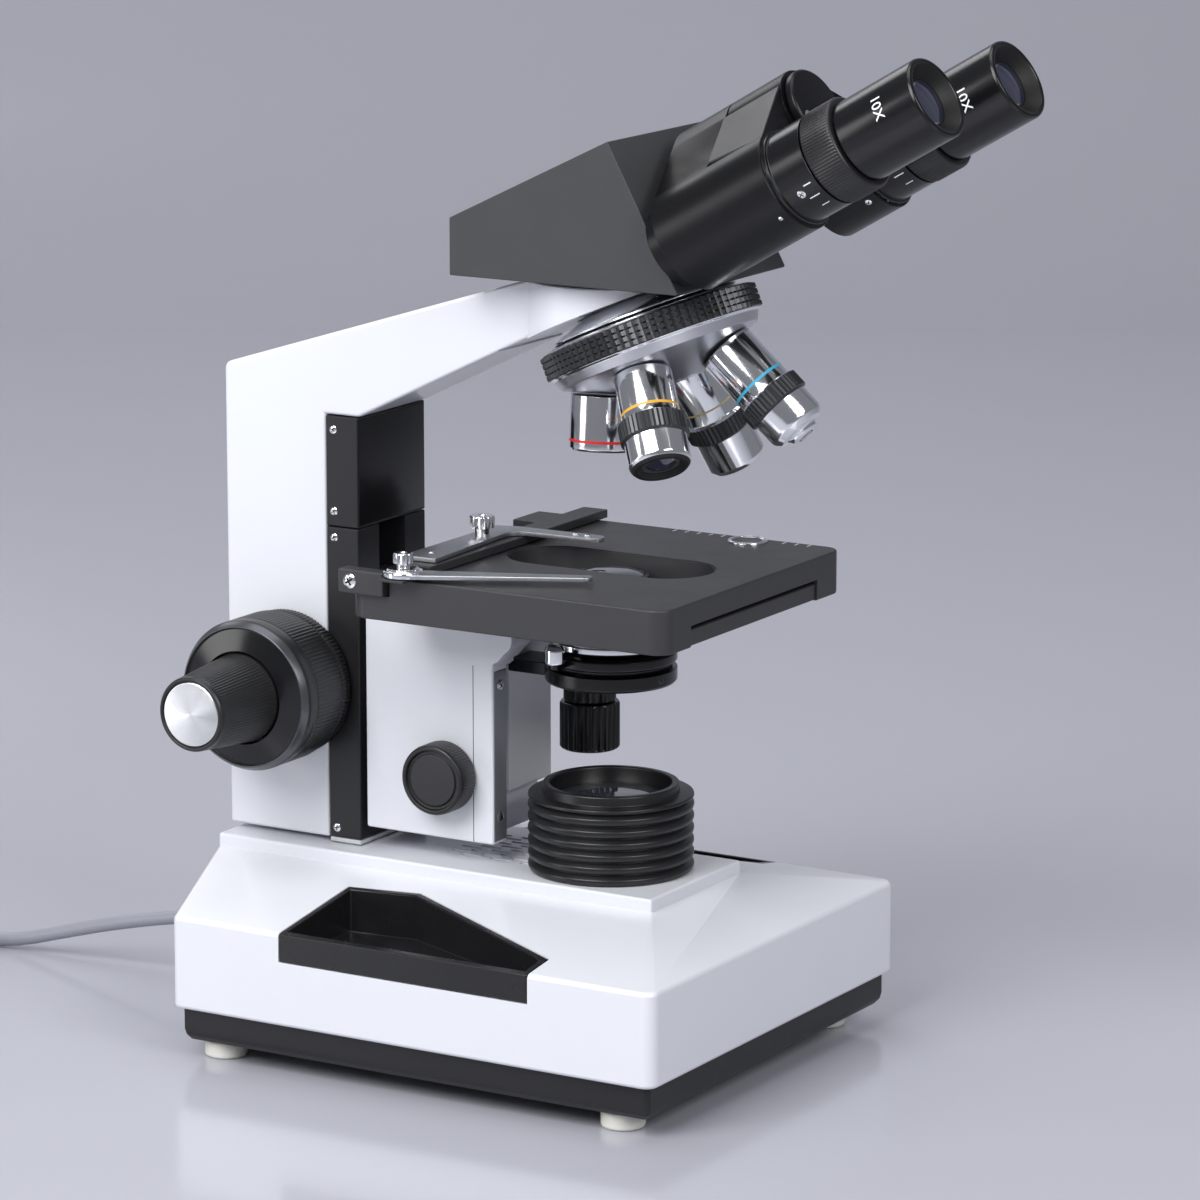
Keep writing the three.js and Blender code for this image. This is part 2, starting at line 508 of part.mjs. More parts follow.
// ---- mains cord: strain relief, the free stretch, the coil of the rest, and the plug ----
function makeCord() {
  const group = new THREE.Group();
  const exitZ = 25;
  add(group, 'cord_strain_relief', turned([[0, GAP], [6.5, GAP], [6.5, 3], [4.6, 5], [3.4, 26], [0, 26]],
    [0, BASE_REAR, exitZ], [0, 1, 0], 16), greyCable());

  const route = new THREE.CatmullRomCurve3([
    [0, 175.1, 25], [0, 181, 24.6], [0, 187, 23.8], [0, 193, 22.6], [0, 200, 21.1], [0, 207, 19.5], [0, 214, 17.8],
    [0, 221, 16], [0, 228, 14.1], [0, 235, 12.1], [0, 242, 10.1], [0, 249, 8], [0, 256, 6], [0, 263, 4.4],
    [0, 270, 3.3], [0, 276, 2.8], [0, 281.5, 2.7],
  ].map(([x, y, z]) => new THREE.Vector3(x, y, z)));
  const section = outline(arc(0, 0, CORD_RADIUS, 0, 320, 8));
  const lead = new THREE.ExtrudeGeometry(section, { extrudePath: route, steps: 22 });
  add(group, 'cord_lead', solid(lead), greyCable());

  // The tail leaves the outermost turn, drops to the floor round the coil and runs to the back of the plug.
  const plugX = COIL_X - COIL_OUTER - 12;
  const plugBack = COIL_Y - 12;
  const tailRoute = new THREE.CatmullRomCurve3([
    [0, 302, 7.4], [-0.3, 309, 6.8], [-2, 317, 5.6], [-5, 325, 4.2], [-10, 332, 3.1], [-17, 338, 2.7],
    [-26, 342, 2.6], [-36, 344.4, 2.6], [-46, 345.2, 2.6], [-58, 345, 2.6], [-69.5, 343.6, 2.8], [-78, 340, 3.4],
    [-84.5, 334, 4.2], [-88.5, 326, 5.2], [plugX, 317, 6.4], [plugX, 308, 7.6], [plugX, 300, 8.6],
    [plugX, plugBack + GAP, 9],
  ].map(([x, y, z]) => new THREE.Vector3(x, y, z)));
  const tail = new THREE.ExtrudeGeometry(section, { extrudePath: tailRoute, steps: 30 });
  const coil = turned([[COIL_INNER, 0], [COIL_OUTER, 0], [COIL_OUTER, COIL_HEIGHT], [COIL_INNER, COIL_HEIGHT]],
    [COIL_X, COIL_Y, 0]);
  add(group, 'cord_coil', coil.add(solid(tail)), greyCable());

  const plug = box(plugX - 10, plugX + 10, plugBack - 28, plugBack, 0, 18)
    .add(box(plugX - 7.2, plugX - 5.6, plugBack - 44, plugBack - 27, 6, 12))
    .add(box(plugX + 5.6, plugX + 7.2, plugBack - 44, plugBack - 27, 6, 12));
  add(group, 'mains_plug', plug, blackPlastic());
  return group;
}

microscope.add(makeBase(), makeArm(), makeCarrier(), makeStage(), makeCondenser(), makeNosepiece(), makeHead(), makeCord());

export default microscope;
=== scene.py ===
"""A binocular microscope: the looks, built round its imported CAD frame. Sizes here are in millimetres."""
import json
import math

import bmesh
import bpy
from mathutils import Matrix, Vector


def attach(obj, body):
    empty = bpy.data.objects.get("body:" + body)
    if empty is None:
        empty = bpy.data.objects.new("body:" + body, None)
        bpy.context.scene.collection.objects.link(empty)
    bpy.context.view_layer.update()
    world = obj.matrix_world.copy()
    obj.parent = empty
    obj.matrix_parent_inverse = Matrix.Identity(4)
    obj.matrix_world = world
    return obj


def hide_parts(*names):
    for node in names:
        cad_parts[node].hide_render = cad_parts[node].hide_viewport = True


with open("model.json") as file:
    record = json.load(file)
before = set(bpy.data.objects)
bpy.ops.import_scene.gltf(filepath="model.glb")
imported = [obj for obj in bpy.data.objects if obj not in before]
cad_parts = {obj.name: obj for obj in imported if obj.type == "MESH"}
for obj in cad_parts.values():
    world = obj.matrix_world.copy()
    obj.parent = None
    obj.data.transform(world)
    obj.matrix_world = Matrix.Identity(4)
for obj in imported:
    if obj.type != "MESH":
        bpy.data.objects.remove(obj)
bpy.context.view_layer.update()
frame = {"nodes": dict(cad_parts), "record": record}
MM = 0.001
WORLD = Matrix.Identity(4)
# An outline drawn in Y and Z, standing along X.
ALONG_X = Matrix(((0, 0, 1, 0), (1, 0, 0, 0), (0, 1, 0, 0), (0, 0, 0, 1)))
BODY_OF = {node: body for body, nodes in frame["record"]["behaviour"]["bodies"].items() for node in nodes}


def spot(x, y, z, degrees=0.0, axis="X"):
    """A place in millimetres, turned about one axis."""
    return Matrix.Translation((x, y, z)) @ Matrix.Rotation(math.radians(degrees), 4, axis)


# ---- driving dimensions, the same as the CAD model's ----
PLATEAU_TOP = 68.7
APEX_Z = 299.0
TURRET_TILT = 23.4
TURRET_REST = 12.0
FACE_Y = -40.2
FACE_Z = 295.8
EYE_HALF_SPACING = 29.5
HINGE_UP = 22.0
HOUSING_START = 8.0
HOUSING_END = 56.0
HOUSING_RADIUS = 18.5
RIM = 117.0
TUBES = spot(0, FACE_Y, FACE_Z, 60)
NOSE = spot(0, 0, APEX_Z, -TURRET_TILT)
FOCUS = {"left": spot(0, 120.7, 126.6, -90, "Y"), "right": spot(0, 120.7, 126.6, 90, "Y")}
CONDENSER_KNOB = spot(0, 54.6, 100, -90, "Y")


# ---- camera ----
def make_camera():
    forward = Vector((0.8391, 0.5021, -0.2094)).normalized()
    target = Vector((-2.0, 3.35, 165.35)) * MM
    camera = bpy.data.objects.new("camera", bpy.data.cameras.new("camera"))
    camera.data.sensor_width = 36.0
    camera.data.lens = 165.5
    camera.data.clip_end = 50.0
    camera.location = target - forward * 1.9349
    camera.rotation_euler = forward.to_track_quat("-Z", "Y").to_euler()
    bpy.context.scene.collection.objects.link(camera)
    bpy.context.scene.camera = camera


# ---- materials ----
def node_in(tree, kind, **values):
    node = tree.nodes.new(kind)
    for key, value in values.items():
        node.inputs[key].default_value = value
    return node


def surface(name, color, roughness, metallic=0.0, mottle=0.06, mottle_scale=40.0, wear=0.06, grain=0.0,
            grain_scale=2500.0, coat=0.0, specular=0.5, anisotropic=0.0, tangent_axis=None,
            stretch=(1, 1, 1)):
    """A painted, moulded or metal surface: colour and gloss vary softly, and grain is a fine bump."""
    material = bpy.data.materials.new(name)
    material.use_nodes = True
    tree = material.node_tree
    shader = tree.nodes["Principled BSDF"]
    shader.inputs["Metallic"].default_value = metallic
    shader.inputs["Coat Weight"].default_value = coat
    shader.inputs["Specular IOR Level"].default_value = specular
    shader.inputs["Coat Roughness"].default_value = 0.06
    shader.inputs["Anisotropic"].default_value = anisotropic
    place = tree.nodes.new("ShaderNodeTexCoord")
    scaled = tree.nodes.new("ShaderNodeMapping")
    scaled.inputs["Scale"].default_value = stretch
    tree.links.new(place.outputs["Object"], scaled.inputs["Vector"])

    cloud = node_in(tree, "ShaderNodeTexNoise", Scale=mottle_scale, Detail=4.0, Roughness=0.6)
    tree.links.new(scaled.outputs["Vector"], cloud.inputs["Vector"])
    tint = tree.nodes.new("ShaderNodeMix")
    tint.data_type = "RGBA"
    tint.inputs["A"].default_value = (*[c * (1 - mottle) for c in color], 1)
    tint.inputs["B"].default_value = (*[min(c * (1 + mottle), 1) for c in color], 1)
    tree.links.new(cloud.outputs["Fac"], tint.inputs["Factor"])
    tree.links.new(tint.outputs["Result"], shader.inputs["Base Color"])

    smudge = node_in(tree, "ShaderNodeTexNoise", Scale=mottle_scale * 2.3, Detail=6.0, Roughness=0.65)
    tree.links.new(scaled.outputs["Vector"], smudge.inputs["Vector"])
    gloss = tree.nodes.new("ShaderNodeMapRange")
    gloss.inputs["To Min"].default_value = max(roughness - wear, 0.02)
    gloss.inputs["To Max"].default_value = roughness + wear
    tree.links.new(smudge.outputs["Fac"], gloss.inputs["Value"])
    tree.links.new(gloss.outputs["Result"], shader.inputs["Roughness"])

    if grain:
        speck = node_in(tree, "ShaderNodeTexNoise", Scale=grain_scale, Detail=2.0)
        tree.links.new(scaled.outputs["Vector"], speck.inputs["Vector"])
        bump = node_in(tree, "ShaderNodeBump", Strength=grain, Distance=0.0002)
        tree.links.new(speck.outputs["Fac"], bump.inputs["Height"])
        tree.links.new(bump.outputs["Normal"], shader.inputs["Normal"])
    if tangent_axis:
        tangent = tree.nodes.new("ShaderNodeTangent")
        tangent.direction_type = "RADIAL"
        tangent.axis = tangent_axis
        tree.links.new(tangent.outputs["Tangent"], shader.inputs["Tangent"])
    return material


def glass(name, color):
    """A coated lens: dark and deep, with a strong clear reflection."""
    material = surface(name, color, 0.05, mottle=0.1, wear=0.02, coat=1.0)
    shader = material.node_tree.nodes["Principled BSDF"]
    shader.inputs["Specular IOR Level"].default_value = 0.9
    shader.inputs["Coat Roughness"].default_value = 0.02
    return material


ENAMEL = surface("white_enamel", (0.69, 0.705, 0.755), 0.34, mottle=0.015, wear=0.04, grain=0.035,
                 grain_scale=900, coat=0.35)
BLACK_PAINT = surface("black_paint", (0.013, 0.013, 0.015), 0.36, mottle=0.12, grain=0.14, grain_scale=2600,
                      specular=0.35)
STAGE_PAINT = surface("stage_paint", (0.030, 0.030, 0.033), 0.44, mottle=0.1, grain=0.14, grain_scale=2600)
HOOD = surface("eyepiece_hood", (0.006, 0.006, 0.006), 0.5, mottle=0.1, grain=0.1, grain_scale=3000,
               specular=0.3)
HEAD_PAINT = surface("head_paint", (0.050, 0.051, 0.054), 0.46, mottle=0.10, grain=0.34, grain_scale=2200,
                     specular=0.3)
GLOSS_BLACK = surface("gloss_black", (0.005, 0.005, 0.006), 0.22, mottle=0.2, wear=0.05, grain=0.03,
                      specular=0.4)
TUBE_PAINT = surface("tube_paint", (0.005, 0.005, 0.006), 0.31, mottle=0.2, grain=0.06, grain_scale=1800,
                     specular=0.26)
MOULDED = surface("moulded_black", (0.010, 0.010, 0.011), 0.38, mottle=0.15, grain=0.12, grain_scale=3000)
POCKET = surface("pocket_black", (0.009, 0.009, 0.010), 0.26, mottle=0.15, grain=0.1, grain_scale=3000)
CHROME = surface("chrome", (0.86, 0.87, 0.89), 0.12, metallic=1.0, mottle=0.03, wear=0.04)
TURNED_CHROME = surface("turned_chrome", (0.80, 0.81, 0.83), 0.17, metallic=1.0, mottle=0.04, wear=0.05,
                        grain=0.05, grain_scale=1500)
SATIN_STEEL = surface("satin_steel", (0.62, 0.63, 0.65), 0.32, metallic=1.0, mottle=0.06, grain=0.08)
BRUSHED = surface("brushed_steel", (0.46, 0.47, 0.49), 0.36, metallic=1.0, mottle=0.08, grain=0.22,
                  grain_scale=700, stretch=(1, 14, 14))
DARK_METAL = surface("dark_metal", (0.055, 0.056, 0.060), 0.30, metallic=0.7, mottle=0.12, wear=0.08)
SPUN = surface("spun_aluminium", (0.70, 0.71, 0.72), 0.26, metallic=1.0, mottle=0.02, wear=0.02,
               anisotropic=0.85, tangent_axis="X")
SATIN_DISH = surface("satin_dish", (0.56, 0.57, 0.60), 0.30, metallic=1.0, mottle=0.05, grain=0.05)
RIM_METAL = surface("rim_metal", (0.10, 0.104, 0.115), 0.30, metallic=0.8, mottle=0.05, grain=0.06)
GIB_GREY = surface("gib_grey", (0.24, 0.25, 0.27), 0.42, metallic=0.5, mottle=0.06, grain=0.1)
CONE_BLACK = surface("cone_black", (0.005, 0.005, 0.006), 0.16, mottle=0.2, wear=0.04)
COLLECTOR_BLACK = surface("collector_black", (0.007, 0.007, 0.008), 0.34, mottle=0.15, grain=0.06)
PAD_GREY = surface("pad_grey", (0.022, 0.022, 0.025), 0.6, mottle=0.1, grain=0.4, grain_scale=3200)
IVORY = surface("ivory_rubber", (0.74, 0.73, 0.67), 0.55, mottle=0.05, grain=0.2)
CABLE = surface("grey_pvc", (0.26, 0.27, 0.31), 0.40, mottle=0.05, grain=0.05)
SLIDE_GREY = surface("slide_grey", (0.52, 0.53, 0.56), 0.38, mottle=0.03, grain=0.08)
WHITE_INK = surface("white_ink", (0.85, 0.86, 0.88), 0.5, mottle=0.05)
RED_RING = surface("red_ring", (0.62, 0.02, 0.02), 0.35)
YELLOW_RING = surface("yellow_ring", (0.72, 0.36, 0.03), 0.35)
PALE_RING = surface("pale_yellow_ring", (0.62, 0.50, 0.22), 0.4)
BLUE_RING = surface("blue_ring", (0.05, 0.40, 0.62), 0.35)
LENS = glass("coated_lens", (0.020, 0.022, 0.05))
LENS_CLEAR = glass("field_lens", (0.03, 0.035, 0.045))
CERAMIC = surface("ceramic", (0.62, 0.60, 0.54), 0.7, grain=0.2)
CORE = surface("varnished_core", (0.16, 0.15, 0.15), 0.5, metallic=0.4, grain=0.2)
# Near-black and rough: painted shade in the screw recesses, the carrier's seam and the objectives' lens wells;
# also the objectives' near-black front ends.
TIPS_AND_RECESS_SHADE = surface("black_tips_and_painted_recess_shade", (0.004, 0.004, 0.004), 0.7)


# ---- building in mesh code ----
def object_from(bm, name, place=WORLD, materials=(), angle=32.0):
    """Turns a bmesh in millimetres into an object in metres, faces outwards, smooth up to `angle` degrees."""
    bmesh.ops.recalc_face_normals(bm, faces=bm.faces)
    bm.transform(Matrix.Scale(MM, 4) @ place)
    mesh = bpy.data.meshes.new(name)
    bm.to_mesh(mesh)
    bm.free()
    for material in materials:
        mesh.materials.append(material)
    made = bpy.data.objects.new(name, mesh)
    bpy.context.scene.collection.objects.link(made)
    smooth(made, angle)
    return made


def smooth(piece, angle):
    piece.data.shade_smooth()
    piece.data.set_sharp_from_angle(angle=math.radians(angle))


def arc(cx, cy, radius, start, stop, steps):
    angles = [math.radians(start + (stop - start) * i / steps) for i in range(steps + 1)]
    return [(cx + radius * math.cos(a), cy + radius * math.sin(a)) for a in angles]


def rounded_rectangle(x0, x1, y0, y1, radius, steps=8):
    corners = [(x1, y0, -90), (x1, y1, 0), (x0, y1, 90), (x0, y0, 180)]
    points = []
    for x, y, start in corners:
        cx = x - radius if x == x1 else x + radius
        cy = y - radius if y == y1 else y + radius
        points += arc(cx, cy, radius, start, start + 90, steps)
    return points


def row(entry):
    """Fills out a profile row: radius, height, knurl depth, material number."""
    return tuple(entry) + (0.0, 0)[len(entry) - 2:] if len(entry) < 4 else tuple(entry)


def soften(rows, radius, steps=3):
    """Rounds the corners of a turned profile, except on its knurled stretches and at the axis."""
    rows = [row(entry) for entry in rows]
    closed = rows[0][0] > 0
    out = []
    for i, here in enumerate(rows):
        ends = not closed and i in (0, len(rows) - 1)
        before = rows[i - 1]
        after = rows[(i + 1) % len(rows)]
        if ends or here[2] or here[0] == 0:
            out.append(here)
            continue
        p, a, b = (Vector(point[:2]) for point in (here, before, after))
        if (a - p).length < 1e-6 or (b - p).length < 1e-6 or (a - p).angle(b - p) > math.radians(160):
            out.append(here)
            continue
        reach_a = min(radius, (a - p).length * 0.4)
        reach_b = min(radius, (b - p).length * 0.4)
        first = p + (a - p).normalized() * reach_a
        last = p + (b - p).normalized() * reach_b
        for k in range(steps + 1):
            t = k / steps
            q = first * (1 - t) ** 2 + p * (2 * t * (1 - t)) + last * t * t
            out.append((q.x, q.y, 0.0, here[3] if k == steps else before[3]))
    return out


def lathe(name, rows, place=WORLD, materials=(), facets=96, teeth=0, round_by=0.35, angle=32.0):
    """Turns a profile about local Z. Rows with a knurl depth get that many teeth."""
    rows = soften(rows, round_by) if round_by else [row(entry) for entry in rows]
    facets = teeth * 4 if teeth else facets
    bm = bmesh.new()
    rings = []
    for radius, height, depth, _ in rows:
        if radius < 1e-6:
            rings.append([bm.verts.new((0, 0, height))])
            continue
        ring = []
        for i in range(facets):
            turn = 2 * math.pi * i / facets
            r = radius - depth * (0.5 - 0.5 * math.cos(2 * math.pi * i * teeth / facets)) if depth else radius
            ring.append(bm.verts.new((r * math.cos(turn), r * math.sin(turn), height)))
        rings.append(ring)
    pairs = list(zip(range(len(rows) - 1), range(1, len(rows))))
    if rows[0][0] > 1e-6:
        pairs.append((len(rows) - 1, 0))
    for a, b in pairs:
        low, high = rings[a], rings[b]
        for i in range(facets):
            j = (i + 1) % facets
            corners = [low[i % len(low)], low[j % len(low)], high[j % len(high)], high[i % len(high)]]
            corners = list(dict.fromkeys(corners))
            if len(corners) > 2:
                bm.faces.new(corners).material_index = rows[a][3]
    return object_from(bm, name, place, materials, angle)


def plate(name, outline, z0, z1, place=WORLD, materials=(), bevel=0.5, segments=3, angle=32.0):
    """An outline standing from z0 to z1, with its sharp edges rounded."""
    bm = bmesh.new()
    face = bm.faces.new([bm.verts.new((x, y, z0)) for x, y in outline])
    top = bmesh.ops.extrude_face_region(bm, geom=[face])
    bmesh.ops.translate(bm, vec=(0, 0, z1 - z0),
                        verts=[v for v in top["geom"] if isinstance(v, bmesh.types.BMVert)])
    round_edges(bm, bevel, segments)
    return object_from(bm, name, place, materials, angle)


def round_edges(bm, bevel, segments=3):
    bmesh.ops.recalc_face_normals(bm, faces=bm.faces)
    if bevel:
        sharp = [e for e in bm.edges if e.is_manifold and e.calc_face_angle() > math.radians(25)]
        bmesh.ops.bevel(bm, geom=sharp, offset=bevel, segments=segments, profile=0.5, affect="EDGES",
                        clamp_overlap=True)


def hull(name, points, place=WORLD, materials=(), bevel=0.0, segments=4, angle=32.0):
    """The tight skin round some points, with its sharp edges rounded."""
    bm = bmesh.new()
    for point in points:
        bm.verts.new(point)
    found = bmesh.ops.convex_hull(bm, input=bm.verts)
    inside = [v for v in found["geom_interior"] if isinstance(v, bmesh.types.BMVert)]
    bmesh.ops.delete(bm, geom=inside, context="VERTS")
    bmesh.ops.dissolve_limit(bm, angle_limit=math.radians(1), verts=bm.verts, edges=bm.edges)
    round_edges(bm, bevel, segments)
    return object_from(bm, name, place, materials, angle)


def block(name, x, y, z, place=WORLD, materials=(), bevel=0.5, segments=3):
    return plate(name, [(x[0], y[0]), (x[1], y[0]), (x[1], y[1]), (x[0], y[1])], z[0], z[1], place,
                 materials, bevel, segments)


def boolean(piece, tool, operation, angle=32.0):
    """Cuts or joins with another solid, which is used up."""
    step = piece.modifiers.new("step", "BOOLEAN")
    step.operation = operation
    step.object = tool
    step.solver = "EXACT"
    step.use_self = False
    step.material_mode = "TRANSFER"
    bpy.context.view_layer.update()
    evaluated = piece.evaluated_get(bpy.context.evaluated_depsgraph_get())
    mesh = bpy.data.meshes.new_from_object(evaluated)
    piece.modifiers.clear()
    old = piece.data
    piece.data = mesh
    bpy.data.meshes.remove(old)
    bpy.data.objects.remove(tool)
    smooth(piece, angle)
    return piece


def cut(piece, tool, angle=32.0):
    return boolean(piece, tool, "DIFFERENCE", angle)


def fuse(piece, tool):
    return boolean(piece, tool, "UNION")


def join(name, pieces):
    """Several loose solids as one object, such as a set of screws."""
    bm = bmesh.new()
    materials = []
    for piece in pieces:
        base = len(bm.faces)
        numbers = []
        for material in piece.data.materials:
            if material not in materials:
                materials.append(material)
            numbers.append(materials.index(material))
        bm.from_mesh(piece.data)
        bm.faces.ensure_lookup_table()
        for face in bm.faces[base:]:
            face.material_index = numbers[face.material_index]
        bpy.data.objects.remove(piece)
    bm.transform(Matrix.Scale(1 / MM, 4))
    return object_from(bm, name, WORLD, materials)


def even_normals(piece):
    """Keeps broad flat faces flat where they meet rounded edges."""
    step = piece.modifiers.new("even", "WEIGHTED_NORMAL")
    step.keep_sharp = True
    return piece


def stand_for(piece, node):
    """The piece is shown in place of a CAD node."""
    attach(piece, BODY_OF[node])
    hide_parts(node)
    return piece


def extra(piece, node):
    """A piece that goes with a CAD node's body."""
    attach(piece, BODY_OF[node])
    return piece


def screw(place, radius, height=0.8, slot_turn=30.0, material=CHROME, name="screw"):
    """A domed screw head with a cross recess, standing on local Z."""
    head = lathe(name, [(0, -0.6), (radius, -0.6), (radius, height * 0.35), (radius * 0.72, height * 0.85),
                        (radius * 0.3, height), (0, height)], materials=(material,), facets=32, round_by=0)
    # The cross recess walls take the near-black material: painted shade in the recess.
    for turn in (slot_turn, slot_turn + 90):
        bar = block("slot", (-radius * 0.62, radius * 0.62), (-radius * 0.13, radius * 0.13),
                    (height * 0.3, 3), Matrix.Rotation(math.radians(turn), 4, "Z"), (TIPS_AND_RECESS_SHADE,), bevel=0)
        cut(head, bar)
    head.data.transform(Matrix.Scale(MM, 4) @ place @ Matrix.Scale(1 / MM, 4))
    return head


# ---- base ----
BASE_HALF, BASE_FRONT, BASE_REAR, SHOULDER_Y, TAIL = 87.5, -68.0, 148.4, 128.0, 36.0


def base_outline(inset, corner=5.0, steps=8):
    half, front = BASE_HALF - inset, BASE_FRONT + inset
    corner = max(corner - inset, 1.5)
    side = arc(half - corner, front + corner, corner, -90, 0, steps)
    side += [(half, SHOULDER_Y - 0.675 * inset), (TAIL - 0.194 * inset, BASE_REAR - inset)]
    return side + [(-x, y) for x, y in reversed(side)]


def at_height(points, z):
    return [(x, y, z) for x, y in points]


def pocket_outline(grow, way):
    points = [(-95, 83 + grow), (-BASE_HALF, 83 + grow), (-46.4 + grow, 80.5 + grow), (-43.4 + grow, 52.4),
              (-74.5 + grow, -19.6 - grow), (-BASE_HALF, -18.6 - grow), (-95, -18.6 - grow)]
    return points if way < 0 else [(-x, y) for x, y in reversed(points)]


def shell_form(name, inset, bottom, bevel, material=ENAMEL):
    half, front, rear = 31.6 - inset, -35.0 + inset, 147.0 - inset
    corners = [(-half, front), (half, front), (half, rear), (-half, rear)]
    skirt = hull(name, at_height(base_outline(inset), bottom)
                 + at_height(base_outline(inset), 53.1 - inset * 0.4)
                 + at_height(corners, 64.0 - inset), materials=(material,), bevel=bevel)
    raised = plate("raised", corners, 58.0 - inset, PLATEAU_TOP - inset, materials=(material,),
                   bevel=bevel * 0.6, segments=4)
    return fuse(skirt, raised)


def make_base():
    shell = shell_form("base_casing", 0, 19.3, 1.6)
    cut(shell, shell_form("inside", 3.0, 15.0, 0))
    for way in (-1, 1):
        cut(shell, plate("mouth", pocket_outline(0.3, way), 42.7, 90, bevel=0))
    cut(shell, lathe("bore", [(0, 50), (19, 50), (19, 90), (0, 90)], round_by=0))
    slots = []
    for line in range(10):
        for place in range(3):
            x = -12 + line * 3.4
            y = 26 + place * 12.5 + (line % 2) * 6.0
            slots.append(plate("slot", rounded_rectangle(x - 1.0, x + 1.0, y - 4.3, y + 4.3, 0.99, 4),
                               60, 80, bevel=0, materials=(ENAMEL,)))
    cut(shell, join("slots", slots))
    cut(shell, block("switch_hole", (17, 31), (140, 160), (25, 46), bevel=0))
    stand_for(even_normals(shell), "base_shell")

    tray = hull("base_tray", at_height(base_outline(3), 19.0) + at_height(base_outline(3), 11.5)
                + at_height(base_outline(3.6), 9.2) + at_height(base_outline(5.2), 7.3)
                + at_height(base_outline(8), 6.5), materials=(BLACK_PAINT,), bevel=0.4, segments=2,
                angle=50)
    cut(tray, plate("inside", base_outline(6.5), 9.5, 25, bevel=0), angle=50)
    stand_for(even_normals(tray), "base_plate")

    for side, x in (("left", -71.5), ("right", 71.5)):
        for end, y in (("front", -47.5), ("rear", 117)):
            foot = lathe(f"rubber_foot_{end}_{side}",
                         [(0, 0), (6.9, 0), (7.75, 0.8), (7.75, 6.2), (0, 6.2)], spot(x, y, 0), (IVORY,),
                         48, round_by=0.7)
            stand_for(foot, f"foot_{end}_{side}")
        way = -1 if side == "left" else 1
        tray = shell_form("pocket_tray_" + side, 0, 19.3, 0, POCKET)
        keep = plate("keep", pocket_outline(0, way), 43, 90, bevel=0)
        boolean(tray, keep, "INTERSECT")
        hollow = [(-84.9, 81), (-48.4, 78.7), (-45.6, 53), (-74.0, -13.4), (-76.5, -16.8), (-84.9, -16.4)]
        hollow = hollow if way < 0 else [(-x, y) for x, y in reversed(hollow)]
        cut(tray, plate("hollow", hollow, 45, 90, bevel=0))
        step = tray.modifiers.new("edges", "BEVEL")
        step.width = 0.4 * MM
        step.segments = 2
        step.limit_method = "ANGLE"
        step.angle_limit = math.radians(40)
        stand_for(even_normals(tray), f"grip_pocket_{side}")


def make_collector():
    ribs = []
    for i in range(6):
        z = 69.0 + 4.35 * i
        ribs += [(29.1, z + 0.2), (29.5, z + 1.3), (29.4, z + 2.2), (28.2, z + 3.2), (27.5, z + 3.8)]
    rows = [(17.5, 69), (28.6, 69)] + ribs + [(28.9, 94.9), (29.5, 95.3), (29.3, 96.3), (24.4, 96.5),
                                              (24.3, 99.6), (23.9, 100), (21.9, 100), (21.5, 99.6),
                                              (21.5, 93), (17.5, 93)]
    stand_for(lathe("ribbed_collector", rows, WORLD, (COLLECTOR_BLACK,), 128, round_by=0.3, angle=50),
              "light_collector")
    lens = [(0, 93.3), (21.2, 93.3), (21.2, 94.2), (19.5, 94.6), (16, 95.4), (11, 96.2), (5, 96.7),
            (0, 96.8)]
    stand_for(lathe("collector_glass", lens, WORLD, (LENS_CLEAR,), 96, round_by=0.15, angle=60),
              "field_glass")


def make_controls():
    chamfer = Vector((0.3737, 0.9276, 0)).to_track_quat("Z", "Y").to_matrix().to_4x4()
    place = Matrix.Translation((63, 137.6, 36)) @ chamfer
    dial = lathe("dimmer_wheel", [(0, -8.5), (3.4, -8.5), (3.4, 0.3), (8.2, 0.3), (8.9, 0.9, 0.35),
                                  (8.9, 5.6, 0.35), (8.2, 6.8), (5.5, 7), (5.0, 6.6), (0, 6.6)], place,
                 (MOULDED,), teeth=36, round_by=0.25)
    stand_for(dial, "dimmer_dial")
    rocker = plate("rocker", [(136.6, 35.5), (141, 27.3), (147.2, 27.3), (147.0, 31), (146.4, 35.5),
                              (146.2, 43.6), (141, 43.6)], 17.8, 30.2, ALONG_X,
                   (MOULDED,), 0.4)
    stand_for(rocker, "power_switch")
    frame["nodes"]["transformer"].data.materials.clear()
    for node, material in (("transformer", CORE), ("lamp_socket", CERAMIC), ("halogen_lamp", LENS_CLEAR),
                           ("coarse_shaft", SATIN_STEEL), ("fine_shaft", SATIN_STEEL),
                           ("focus_slide", SATIN_STEEL)):
        mesh = frame["nodes"][node].data
        mesh.materials.clear()
        mesh.materials.append(material)


# ---- column, arm and focusing gear ----


